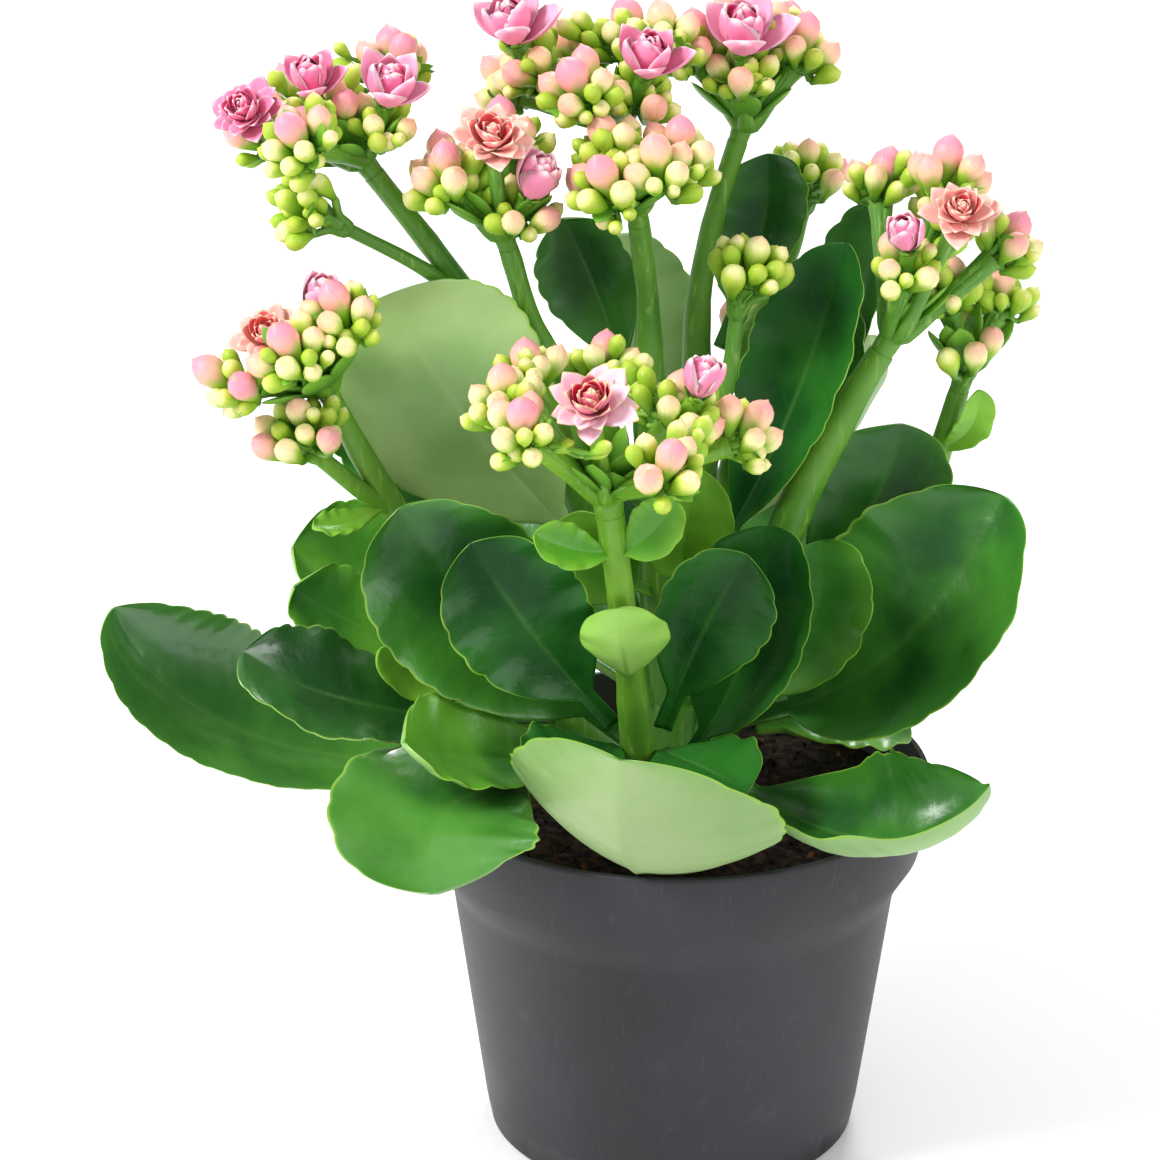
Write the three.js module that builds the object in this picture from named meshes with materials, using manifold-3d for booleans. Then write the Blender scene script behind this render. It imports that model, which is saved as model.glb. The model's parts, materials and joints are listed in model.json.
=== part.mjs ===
// A kalanchoe with double pink flowers, growing in a plain tapered pot.
// Millimetres, +Z up. The origin is the middle of the flat underside of the pot, on the surface it stands on.
// -Y is the front. Every point below is written in this frame.
import * as THREE from 'three';
import { mergeVertices } from 'three/addons/utils/BufferGeometryUtils.js';
import Module from 'manifold-3d';

const wasm = await Module();
wasm.setup();

// ---------------------------------------------------------------- driving dimensions

const POT = {
  height: 90,
  rimRadius: 60,
  footRadius: 44,
  wall: 1.5,
  floor: 2,
  bandFoot: 73,
  sides: 28,
  drainHoles: 6,
  drainRadius: 4,
  drainCircle: 33,
};
const SOIL = { top: 80, bottom: 3, unevenness: 1.2, sides: 16 };
const SEAT_GAP = 0.3;

const STEM_SIDES = 6;
const LEAF = { columns: 4, rings: 8, petioleHalf: 2.4, petioleThick: 3, bladeThick: 2, tooth: 1.1 };
const BRACT = { columns: 2, rings: 5, petioleHalf: 1.6, petioleThick: 2, bladeThick: 1.4, tooth: 0.4 };
const PETAL = { thick: 0.8, fold: 0.1, cup: 0.2 };

const FINISH = {
  pot: new THREE.MeshStandardMaterial({ color: 0x4a494c, roughness: 0.55, metalness: 0 }),
  soil: new THREE.MeshStandardMaterial({ color: 0x17120e, roughness: 0.95, metalness: 0 }),
  stem: new THREE.MeshStandardMaterial({ color: 0x5f9a34, roughness: 0.5, metalness: 0 }),
  leaf: new THREE.MeshStandardMaterial({ color: 0x2f6d2a, roughness: 0.35, metalness: 0 }),
  paleLeaf: new THREE.MeshStandardMaterial({ color: 0x7fa662, roughness: 0.45, metalness: 0 }),
  head: new THREE.MeshStandardMaterial({ color: 0xb5c95a, roughness: 0.5, metalness: 0 }),
  petal: new THREE.MeshStandardMaterial({ color: 0xe68fb4, roughness: 0.6, metalness: 0 }),
};

// The trunk comes up through the soil and the stems part from it. Each path's points are joined by a smooth
// curve; radii are given at even shares of its length, and a head stands on the end of the stem it names.
const TRUNK = { foot: [0, 5, 58], radius: 7 };
const STEMS = {
  trunk: { path: [TRUNK.foot, [0, 5, 84], [1, 6, 104]], radii: [TRUNK.radius, TRUNK.radius, 5.5], steps: 3 },
  front: {
    path: [[0, 2, 87], [-3, -12, 93], [-8, -25, 103], [-11, -34, 130], [-14, -40, 158], [-15.5, -42, 170]],
    radii: [4.6, 4.4, 4.2, 3.1, 3, 3.2], steps: 7,
  },
  left: { path: [[-1, 4, 84], [-18, 2, 97], [-38, -2, 120], [-58, -6, 148], [-70, -10, 170], [-77, -12, 185]],
    radii: [5, 4.6, 4, 3.2, 2.8, 2.6], steps: 7 },
  left_low: { path: [[-64, -8, 158], [-71, -12, 164], [-79.5, -16, 173]], radii: [2.2, 2, 2], steps: 2 },
  tall_left: { path: [[-1, 8, 94], [-14, 16, 130], [-34, 15, 180], [-52, 9, 210], [-68, 8, 232]],
    radii: [4.6, 4, 3.6, 3.2, 3], steps: 7 },
  tall_left_low: { path: [[-48, 10, 203], [-60, 4, 213], [-73, 1, 221]], radii: [2.2, 2, 1.8], steps: 2 },
  middle: { path: [[0, 8, 98], [-4, 13, 140], [-6, 12, 180], [-7, 5, 206], [-9, 0, 223]],
    radii: [5, 4.6, 4, 3.2, 3], steps: 6 },
  top: { path: [[-7, 8, 198], [-8, 15, 217], [-13, 19, 236]], radii: [2.8, 2.6, 2.4], steps: 3 },
  middle_left: { path: [[-5, 15, 150], [-20, 11, 175], [-32, 3, 197], [-38, 1, 217]],
    radii: [3.6, 3.2, 3, 2.8], steps: 4 },
  tall_right: { path: [[2, 9, 100], [6, 18, 150], [5, 22, 195], [9, 28, 217], [14, 31, 233]],
    radii: [4.6, 4.2, 3.6, 3, 2.8], steps: 6 },
  small_back: { path: [[6, 19, 165], [17, 31, 186], [27, 43, 201], [30, 46, 211]],
    radii: [2.8, 2.4, 2, 2], steps: 3 },
  small_middle: { path: [[5, 16, 148], [9, 5, 174], [12, 0, 190], [13, -1, 201]],
    radii: [2.8, 2.4, 2.2, 2], steps: 3 },
  right: { path: [[2, 6, 86], [12, 4, 108], [20, 1, 134], [28, -1, 158], [40, 1, 182], [46, 2, 192]],
    radii: [5, 4.8, 4.4, 4.2, 3.8, 3.4], steps: 7 },
  right_low: { path: [[1, 8, 88], [22, 16, 104], [46, 22, 126], [58, 20, 150], [63, 16, 170], [65, 14, 179]],
    radii: [4.4, 4, 3.4, 3, 2.6, 2.4], steps: 7 },
  back: { path: [[0, 9, 90], [4, 26, 110], [12, 44, 140], [20, 54, 168]], radii: [4.4, 3.8, 3, 2.4], steps: 5 },
};

// A leaf's rib runs from its seat on a stem through its middle to its tip. faces is the way its upper side
// looks. width is the full width in mm, fold the angle in radians at which each half rises from the rib, cup
// how much steeper it gets towards the margin, and stalk the share of the rib before the blade starts.
const LEAVES = [
  { name: 'leaf_left_far', rib: [[-22.4, -3.9, 96.9], [-92, -17, 104], [-127, -20, 139]],
    faces: [0.1, -0.55, 0.8], width: 44, cup: 0.45 },
  { name: 'leaf_left_low', rib: [[-29.2, -5.8, 105.1], [-70, -30, 119], [-97, -37, 135]],
    faces: [0.1, -0.5, 0.85], width: 30, cup: 0.2 },
  { name: 'leaf_left_back', rib: [[-21.8, 7.4, 106.2], [-66, 14, 127], [-89, 14, 140]],
    faces: [0.25, -0.6, 0.8], width: 36, cup: 0.4 },
  { name: 'leaf_left_middle', rib: [[-37.6, -6.3, 113.4], [-72, -8, 129], [-87, -10, 140]],
    faces: [0.1, -0.7, 0.7], width: 22, cup: 0.3 },
  { name: 'leaf_front_left_large', rib: [[-9.1, -17.5, 103.8], [-41, -25, 136], [-62, -28, 166]],
    faces: [-0.15, -0.85, 0.5], width: 44, cup: 0.3 },
  { name: 'leaf_front_left_inner', rib: [[-15, -28.9, 114.4], [-32.5, -33, 138], [-46, -34, 160]],
    faces: [-0.1, -0.85, 0.5], width: 34, cup: 0.3 },
  { name: 'leaf_left_near', rib: [[-10.7, -15.8, 99.2], [-45, -39, 110], [-61, -52, 120]],
    faces: [0.15, -0.5, 0.85], width: 28, cup: 0.3 },
  { name: 'leaf_over_rim', rib: [[-8, -11.5, 89.3], [-47, -48, 105], [-54, -77, 95]],
    faces: [0.12, -0.3, 1], width: 48, cup: 0.1, stalk: 0.3 },
  { name: 'leaf_front_raised', rib: [[3.2, -9.2, 86.6], [-9, -56, 91], [-13.5, -77, 127]],
    faces: [0.25, 0.4, 1], width: 70, cup: 0.3, stalk: 0.3, pale: true },
  { name: 'leaf_front_right', rib: [[7, 0, 92.6], [41, -52, 96], [67, -55, 111]],
    faces: [-0.2, -0.3, 0.9], width: 40, cup: 0.7 },
  { name: 'leaf_right_large', rib: [[15.2, 0.6, 102.5], [49, -8, 122], [74, -4, 160]],
    faces: [-0.5, -0.7, 0.5], width: 55, cup: 0.35 },
  { name: 'leaf_right_back', rib: [[23.9, 4.3, 124.7], [44, 10, 150], [52, 13, 171]],
    faces: [0, -0.9, 0.4], width: 32, cup: 0.2 },
  { name: 'leaf_centre_large', rib: [[1.8, -14.1, 96.4], [16, -22, 130], [20, -18, 158]],
    faces: [-0.4, -0.85, 0.3], width: 36, cup: 0.4 },
  { name: 'leaf_centre_behind', rib: [[11.9, -1.9, 105.1], [30, -8, 128], [33, -4, 149]],
    faces: [-0.3, -0.85, 0.3], width: 30, cup: 0.3 },
  { name: 'leaf_centre_near', rib: [[-3.2, -27.1, 113], [6, -30, 138], [15, -31, 156]],
    faces: [0.1, -0.9, 0.4], width: 28, cup: 0.3 },
  { name: 'leaf_foot_left', rib: [[-13.8, -28.9, 107.2], [-23, -41, 111], [-34, -48, 111]],
    faces: [-0.1, -0.35, 0.9], width: 24, cup: 0.1, stalk: 0.05 },
  { name: 'leaf_foot_right', rib: [[-3.5, -28.8, 106.2], [5, -42, 109], [15, -51, 107]],
    faces: [0.1, -0.35, 0.9], width: 26, cup: 0.1, stalk: 0.05 },
  { name: 'leaf_upper_left_large', rib: [[-15.1, 2.4, 138.7], [-48, 0, 178], [-65, 5, 205]],
    faces: [-0.2, -0.9, 0.25], width: 52, cup: 0.1, fold: 0.05, pale: true },
  { name: 'leaf_upper_left_behind', rib: [[-41, 2.4, 128.4], [-62, 13, 160], [-76, 17, 180]],
    faces: [-0.1, -0.9, 0.3], width: 24, cup: 0.3 },
  { name: 'leaf_upper_middle', rib: [[-10.1, 16.4, 177.9], [-18, 20, 200], [-26, 20, 218]],
    faces: [-0.2, -0.9, 0.3], width: 24, cup: 0.3 },
  { name: 'leaf_upper_back', rib: [[11, 22, 186], [20, 33, 210], [21, 38, 228]],
    faces: [-0.3, -0.8, 0.4], width: 24, cup: 0.3 },
  { name: 'leaf_right_long', rib: [[8.4, 5.6, 138.5], [26, 2, 178], [38, 8, 216]],
    faces: [-0.6, -0.8, 0.1], width: 30, cup: 0.4 },
  { name: 'leaf_right_long_behind', rib: [[11.2, 15, 142], [30, 17, 170], [41, 21, 196]],
    faces: [-0.6, -0.8, 0.15], width: 24, cup: 0.4 },
  { name: 'leaf_right_low', rib: [[19.4, 9.1, 96.3], [38, 10, 97], [56, 14, 94]],
    faces: [0, -0.4, 0.9], width: 22, cup: 0.2 },
  { name: 'leaf_right_pointed', rib: [[27.7, 29, 148.6], [39, 28, 186], [46, 32, 218]],
    faces: [-0.6, -0.7, 0.2], width: 22, cup: 0.4 },
  { name: 'leaf_back_left', rib: [[-9, 15.1, 104.6], [-44, 44, 122], [-66, 62, 150]],
    faces: [0.3, -0.4, 0.85], width: 42, cup: 0.4 },
  { name: 'leaf_back_middle', rib: [[-7.7, 13.4, 98.3], [-9, 58, 112], [-14, 84, 138]],
    faces: [0, -0.4, 0.9], width: 46, cup: 0.4 },
  { name: 'leaf_back_right', rib: [[25.6, 21.3, 103.7], [54, 40, 112], [80, 52, 136]],
    faces: [-0.3, -0.4, 0.85], width: 38, cup: 0.3 },
  { name: 'leaf_back_high', rib: [[1.6, 21.4, 150.3], [-6, 44, 176], [-14, 52, 204]],
    faces: [0.1, 0.9, 0.4], width: 30, cup: 0.3 },
];

// Small leaves that grow straight out of the stems, below the heads.
const BRACTS = [
  { rib: [[-2, 8, 91], [-40, 44, 96], [-64, 62, 106]],
    faces: [0.2, -0.2, 0.9], width: 38, cup: 0.3, stalk: 0.2 },
  { rib: [[4, 8, 92], [44, 40, 97], [70, 54, 106]],
    faces: [-0.2, -0.2, 0.9], width: 36, cup: 0.3, stalk: 0.2 },
  { rib: [[4, 24, 108], [24, 55, 116], [34, 80, 134]],
    faces: [-0.1, -0.4, 0.9], width: 38, cup: 0.3, stalk: 0.2 },
  { rib: [[-12, 15, 128], [-34, 38, 150], [-44, 50, 178]],
    faces: [0.3, 0.8, 0.5], width: 36, cup: 0.3, stalk: 0.2 },
  { rib: [[6, 19, 138], [34, 36, 156], [46, 44, 182]],
    faces: [-0.3, 0.8, 0.5], width: 32, cup: 0.3, stalk: 0.2 },
  { rib: [[-40, -4, 121], [-56, -19, 121], [-67, -25, 131]], faces: [0.2, -0.6, 0.7], width: 16, cup: 0.2 },
  { rib: [[-5, 11, 130], [-17, -4, 144], [-22, -9, 158]], faces: [-0.1, -0.85, 0.5], width: 24, cup: 0.3 },
  { rib: [[2, 12, 132], [2, -2, 148], [5, -6, 167]], faces: [0.1, -0.9, 0.4], width: 22, cup: 0.3 },
  { rib: [[-11, -35, 130], [-12, -43, 136], [-14, -45, 149]], faces: [0, 0.6, 0.7], width: 22, cup: 0.3 },
  { rib: [[-14, -40, 160], [-23, -46, 163], [-32, -49, 168]], faces: [0.1, -0.75, 0.6], width: 11, cup: 0.2 },
  { rib: [[-14, -40, 160], [-7, -45, 166], [-1, -47, 175]], faces: [-0.2, -0.8, 0.4], width: 13, cup: 0.2 },
  { rib: [[-66, -9, 160], [-74, -14, 157], [-82, -18, 158]], faces: [0, -0.5, 0.9], width: 8, cup: 0.2 },
  { rib: [[60, 19, 163], [67, 11, 170], [69, 8, 181]], faces: [0.2, -0.9, 0.2], width: 9, cup: 0.2 },
];

// A head opens from the end of the stem it stands on to a low dome whose middle is top. spread is the dome's
// half width across and front to back, drop how far its edge hangs below the middle, and buds how big its buds
// are beside the usual ones. The first single arms end in one bud instead of a knot of them. Each bloom sits at
// its own point and looks along faces.
const HEADS = [
  { name: 'head_front', on: 'front', top: [-10, -44, 205], spread: [39, 40], drop: 19, arms: 7, single: 0,
    seed: 10, blooms: [
      { name: 'bloom_front', at: [-19.5, -55, 198], faces: [-0.05, -0.6, 0.8], size: 21 },
      { name: 'bloom_front_opening', at: [3, -48.5, 199.5], faces: [0.2, -0.35, 0.9], size: 11, opening: true },
    ] },
  { name: 'head_left', on: 'left', top: [-91, -9, 208], spread: [26, 27], drop: 14, arms: 5, single: 2,
    seed: 310, blooms: [
      { name: 'bloom_left', at: [-90.5, -17.5, 201], faces: [-0.15, -0.6, 0.8], size: 17 },
      { name: 'bloom_left_opening', at: [-80, -9.5, 204], faces: [0.15, -0.3, 0.95], size: 11, opening: true },
    ] },
  { name: 'head_left_low', on: 'left_low', top: [-84, -20, 185], spread: [12, 11], drop: 6, arms: 5, single: 5,
    buds: 0.85, seed: 23, blooms: [] },
  { name: 'head_tall_left', on: 'tall_left', top: [-78, 8, 260], spread: [34, 34], drop: 18, arms: 6, single: 0,
    seed: 44, blooms: [
      { name: 'bloom_tall_left', at: [-94.5, 3, 246.5], faces: [-0.35, -0.65, 0.7], size: 18 },
      { name: 'bloom_tall_left_young', at: [-81, 6, 251], faces: [-0.1, -0.4, 0.9], size: 11, opening: true },
      { name: 'bloom_tall_left_opening', at: [-65, 4, 249.5], faces: [0.2, -0.4, 0.9], size: 12,
        opening: true },
    ] },
  { name: 'head_tall_left_low', on: 'tall_left_low', top: [-86, -3, 229], spread: [9, 8], drop: 4, arms: 4,
    single: 4, buds: 0.75, seed: 5, blooms: [] },
  { name: 'head_middle_left', on: 'middle_left', top: [-38, 4, 244], spread: [21, 23], drop: 14, arms: 5,
    single: 0, seed: 28, blooms: [
      { name: 'bloom_middle_left', at: [-41, -8, 243], faces: [0, -0.6, 0.8], size: 20 },
      { name: 'bloom_middle_left_opening', at: [-33.5, -6, 231], faces: [0.35, -0.4, 0.85], size: 12,
        opening: true },
    ] },
  { name: 'head_middle', on: 'middle', top: [-16, 0, 243], spread: [21, 18], drop: 10, arms: 4, single: 1,
    seed: 7, blooms: [] },
  { name: 'head_top', on: 'top', top: [-27, 19, 262], spread: [34, 23], drop: 15, arms: 6, single: 0,
    seed: 8, blooms: [
      { name: 'bloom_top_opening', at: [-7.5, 12, 254], faces: [0.1, -0.4, 0.9], size: 12, opening: true },
      { name: 'bloom_top_young', at: [-36.5, 18, 259.5], faces: [-0.15, -0.35, 0.95], size: 13, opening: true },
    ] },
  { name: 'head_tall_right', on: 'tall_right', top: [16, 34, 264], spread: [19, 20], drop: 13, arms: 5,
    single: 0, seed: 89, blooms: [
      { name: 'bloom_tall_right', at: [14.5, 24, 256], faces: [0, -0.4, 0.9], size: 14, opening: true },
    ] },
  { name: 'head_small_middle', on: 'small_middle', top: [17, -4, 217], spread: [9, 9], drop: 4, arms: 5,
    single: 5, buds: 0.8, seed: 11, blooms: [] },
  { name: 'head_small_back', on: 'small_back', top: [31, 46, 225], spread: [10, 12], drop: 7, arms: 5,
    single: 5, buds: 0.8, seed: 12, blooms: [] },
  { name: 'head_right', on: 'right', top: [61, 3, 235], spread: [27, 29], drop: 20, arms: 5, single: 0,
    seed: 13, blooms: [
      { name: 'bloom_right', at: [61.5, -6, 226], faces: [0.05, -0.65, 0.75], size: 18 },
      { name: 'bloom_right_opening', at: [50.5, -9, 220], faces: [-0.2, -0.5, 0.85], size: 10, opening: true },
    ] },
  { name: 'head_right_low', on: 'right_low', top: [60, 10, 206], spread: [20, 24], drop: 15, arms: 5, single: 4,
    buds: 0.9, seed: 14, blooms: [] },
  { name: 'head_back', on: 'back', top: [24, 62, 188], spread: [18, 16], drop: 9, arms: 5, single: 2,
    seed: 35, blooms: [] },
];

// ---------------------------------------------------------------- tools

const vector = (point) => new THREE.Vector3(...point);
const mix = (a, b, t) => a + (b - a) * t;

// A row of numbers from 0 to 1 that is the same on every run.
function seededDraws(seed) {
  let state = seed >>> 0;
  return () => {
    state = (Math.imul(state, 1664525) + 1013904223) >>> 0;
    return state / 4294967296;
  };
}

// Joins rings of equal length into one closed body. A ring runs anticlockwise about the way the rings go.
// leans(j) says which diagonal splits the face beside point j, so that both sides of a blade split alike.
function loft(rings, tip = null, leans = () => true) {
  const count = rings[0].length;
  const points = rings.flat();
  const triangles = [];
  for (let i = 0; i + 1 < rings.length; i++) {
    for (let j = 0; j < count; j++) {
      const k = (j + 1) % count;
      const [a, b, c, d] = [i * count + j, i * count + k, (i + 1) * count + k, (i + 1) * count + j];
      triangles.push(...(leans(j) ? [a, b, c, a, c, d] : [a, b, d, b, c, d]));
    }
  }
  for (let j = 1; j + 1 < count; j++) triangles.push(0, j + 1, j);
  const last = (rings.length - 1) * count;
  if (tip) {
    points.push(tip);
    for (let j = 0; j < count; j++) triangles.push(last + j, last + (j + 1) % count, points.length - 1);
  } else {
    for (let j = 1; j + 1 < count; j++) triangles.push(last, last + j, last + j + 1);
  }
  return solid(points, triangles);
}

function solid(points, triangles) {
  return new wasm.Manifold(new wasm.Mesh({
    numProp: 3,
    vertProperties: new Float32Array(points.flatMap((point) => point.toArray())),
    triVerts: new Uint32Array(triangles),
  }));
}

function join(solids) {
  return solids.reduce((whole, piece) => whole.add(piece));
}

function geometryOf(body) {
  const mesh = body.getMesh();
  const positions = new Float32Array(mesh.numVert * 3);
  for (let i = 0; i < mesh.numVert; i++) {
    positions.set(mesh.vertProperties.subarray(i * mesh.numProp, i * mesh.numProp + 3), i * 3);
  }
  const geometry = new THREE.BufferGeometry();
  geometry.setAttribute('position', new THREE.BufferAttribute(positions, 3));
  geometry.setIndex(new THREE.BufferAttribute(mesh.triVerts, 1));
  const flat = geometry.toNonIndexed();
  flat.computeVertexNormals();
  return flat;
}

function piece(name, body, finish) {
  const mesh = new THREE.Mesh(geometryOf(body), finish);
  mesh.name = name;
  return mesh;
}

// Two directions across the way a path goes. previous is the last side, so that a tube doesn't twist.
function acrossOf(along, previous) {
  const side = previous.clone().addScaledVector(along, -previous.dot(along)).normalize();
  return [side, new THREE.Vector3().crossVectors(along, side)];
}

function anyAcross(along) {
  const lead = Math.abs(along.z) < 0.9 ? new THREE.Vector3(0, 0, 1) : new THREE.Vector3(0, 1, 0);
  return acrossOf(along, lead)[0];
}

function ringAt(centre, side, other, radius, sides, turn = 0) {
  return Array.from({ length: sides }, (_, j) => {
    const angle = (2 * Math.PI * (j + turn)) / sides;
    return centre.clone()
      .addScaledVector(side, radius * Math.cos(angle))
      .addScaledVector(other, radius * Math.sin(angle));
  });
}

// A round stem along a smooth curve through the path's points, with its radius given at each of them.
function tube(path, radii, steps, sides) {
  const curve = new THREE.CatmullRomCurve3(path.map(vector));
  const rings = [];
  let side = null;
  for (let i = 0; i <= steps; i++) {
    const t = i / steps;
    const along = curve.getTangent(t);
    const [across, other] = acrossOf(along, side ?? anyAcross(along));
    side = across;
    const place = t * (radii.length - 1);
    const before = Math.min(Math.floor(place), radii.length - 2);
    const radius = mix(radii[before], radii[before + 1], place - before);
    rings.push(ringAt(curve.getPoint(t), across, other, radius, sides));
  }
  return loft(rings);
}

// ---------------------------------------------------------------- blades

// The point and the direction at u on the even curve through a rib's three points.
function alongRib(rib, u) {
  const [base, middle, tip] = rib;
  const pull = middle.clone().multiplyScalar(2).addScaledVector(base, -0.5).addScaledVector(tip, -0.5);
  const point = base.clone().multiplyScalar((1 - u) ** 2)
    .addScaledVector(pull, 2 * u * (1 - u))
    .addScaledVector(tip, u * u);
  const along = pull.clone().sub(base).multiplyScalar(1 - u)
    .addScaledVector(tip.clone().sub(pull), u)
    .normalize();
  return [point, along];
}

// How full a blade is, 0 to 1, at x from its foot to its tip: a wedge at the foot and a round end.
const FOOT_TAPER = 0.75;
const TIP_ROUND = 0.5;
const FULLEST = FOOT_TAPER / (FOOT_TAPER + TIP_ROUND);
const FULLEST_VALUE = FULLEST ** FOOT_TAPER * (1 - FULLEST) ** TIP_ROUND;
const fullness = (x) => x ** FOOT_TAPER * (1 - x) ** TIP_ROUND / FULLEST_VALUE;

// One closed ring round a blade: over the top from the right margin to the left one, and back underneath.
function bladeRing(point, along, faces, halfWidth, thick, shape, columns) {
  const up = faces.clone().addScaledVector(along, -faces.dot(along)).normalize();
  const side = new THREE.Vector3().crossVectors(up, along);
  const ring = [];
  for (let j = 0; j < 2 * columns; j++) {
    const top = j <= columns;
    const v = top ? 1 - (2 * j) / columns : -1 + (2 * (j - columns)) / columns;
    const rise = shape.fold + shape.cup * Math.abs(v);
    const skin = (thick / 2) * (1 - v * v) * (top ? 1 : -1);
    ring.push(point.clone()
      .addScaledVector(side, halfWidth * v * Math.cos(rise))
      .addScaledVector(up, halfWidth * Math.abs(v) * Math.sin(rise) + skin));
  }
  return ring;
}

// The faces of a blade split the same way above and below, and mirrored about its rib.
const bladeLeans = (columns) => (j) => Math.floor((2 * j) / columns) % 2 === 0;

// A leaf with a short stalk and round teeth along the outer part of its margin, made round its own seat.
function leafSolid(leaf, make) {
  const seat = vector(leaf.rib[0]);
  const rib = leaf.rib.map((point) => vector(point).sub(seat));
  const faces = vector(leaf.faces).normalize();
  const shape = { fold: leaf.fold ?? 0.1, cup: leaf.cup };
  const stalk = leaf.stalk ?? 0.16;
  const rings = [];
  for (let i = 0; i < make.rings; i++) {
    const x = i === 0 ? 0 : 1 - (1 - i / make.rings) ** 1.5;
    const u = i === 0 ? 0 : stalk + (1 - stalk) * x;
    const tooth = x > 0.3 ? make.tooth * (i % 2 ? 0.5 : -0.5) : 0;
    const halfWidth = Math.hypot(make.petioleHalf * (1 - x), (leaf.width / 2) * fullness(x)) + tooth;
    const thick = mix(make.petioleThick, make.bladeThick, Math.min(1, x / 0.3)) * mix(1, 0.6, x);
    const [point, along] = alongRib(rib, u);
    rings.push(bladeRing(point, along, faces, halfWidth, thick, shape, make.columns));
  }
  return loft(rings, rib[2], bladeLeans(make.columns));
}

// ---------------------------------------------------------------- the flower heads

// A head is grown as one skin. Its stalk ends in a knot: each side face of the knot carries a branch and its
// top carries the middle one. A branch ends in a smaller knot of buds, in a single bud or in a bloom's cup.
const BUD = {
  middle: 3.6,
  largest: 3.1,
  smallest: 2.4,
  foot: 0.42,
  apart: 0.3,
  roundFrom: 3.2,
  stalk: 7.5,
  splay: 0.9,
};
const KNOT = { flare: 1.25, close: 0.62, height: 1.4 };
const ARM = { radius: 1.1, share: 0.7, lift: 0.7 };
const CUP = { neck: 1, rim: 2.4, depth: 3, reach: 7 };
const BLOOM_CLEAR = 0.8;
const PART = { rounds: 40, within: 24, stalk: 1.2, arm: 2, shortest: 5.5, longest: 11 };

function addRing(skin, points) {
  skin.points.push(...points);
  return points.map((_, j) => skin.points.length - points.length + j);
}

function addWall(skin, lower, upper) {
  lower.forEach((a, j) => {
    const k = (j + 1) % lower.length;
    skin.triangles.push(a, lower[k], upper[k], a, upper[k], upper[j]);
  });
}

function addLid(skin, ring) {
  for (let j = 1; j + 1 < ring.length; j++) skin.triangles.push(ring[0], ring[j], ring[j + 1]);
}

function middleOf(skin, ring) {
  const sum = ring.reduce((total, index) => total.add(skin.points[index]), new THREE.Vector3());
  return sum.divideScalar(ring.length);
}

// Carries a ring of the skin on to stations of centre, radius and turn, each across along. A ring of four is a
// face seen from outside, lower left corner first, and keeps its right-hand side on the right.
function growOn(skin, ring, along, stations) {
  const [a, b, c, d] = ring.map((index) => skin.points[index]);
  const four = ring.length === 4;
  const lead = four ? b.clone().add(c).sub(a).sub(d) : a.clone().sub(middleOf(skin, ring));
  const [side, other] = acrossOf(along, lead);
  return stations.reduce((lower, [centre, radius, turn]) => {
    const upper = addRing(skin, ringAt(centre, side, other, radius, ring.length, turn - (four ? 1.5 : 0)));
    addWall(skin, lower, upper);
    return upper;
  }, ring);
}

// A knot round centre: the ring on its top and a ring round each of its side faces.
function growKnot(skin, ring, centre, along, radius) {
  const flare = growOn(skin, ring, along, [[centre, radius * KNOT.flare, 0]]);
  const roof = centre.clone().addScaledVector(along, radius * KNOT.height);
  const top = addRing(skin, flare.map((index) => skin.points[index].clone().sub(centre)
    .multiplyScalar(KNOT.close).add(roof)));
  const sides = flare.map((a, j) => {
    const k = (j + 1) % flare.length;
    return [a, flare[k], top[k], top[j]];
  });
  return { top, sides };
}

function growBud(skin, ring, bud) {
  const along = bud.centre.clone().sub(middleOf(skin, ring)).normalize();
  const at = (shift) => bud.centre.clone().addScaledVector(along, shift * bud.radius);
  const belly = bud.radius < BUD.roundFrom
    ? [[at(0.1), bud.radius * 1.15, 0.5]]
    : [[at(-0.3), bud.radius, 0.5], [at(0.45), bud.radius * 0.9, 1]];
  const last = growOn(skin, ring, along, [[at(-0.85), bud.radius * BUD.foot, 0], ...belly]);
  const [tip] = addRing(skin, [at(1.15)]);
  last.forEach((a, j) => skin.triangles.push(a, last[(j + 1) % last.length], tip));
}

// The middle of a bloom's flat-topped cup and the neck under it.
function cupOf(bloom) {
  const faces = vector(bloom.faces).normalize();
  const seat = vector(bloom.at).addScaledVector(faces, -SEAT_GAP);
  return { faces, seat, neck: seat.clone().addScaledVector(faces, -CUP.depth) };
}

function growCup(skin, ring, bloom) {
  const { faces, seat, neck } = cupOf(bloom);
  const root = middleOf(skin, ring);
  const way = neck.clone().sub(root).normalize();
  const arm = growOn(skin, ring, way, [[root.lerp(neck, 0.4), ARM.radius, 0]]);
  addLid(skin, growOn(skin, arm, faces, [[neck, CUP.neck, 0], [seat, CUP.rim, 0]]));
}

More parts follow.
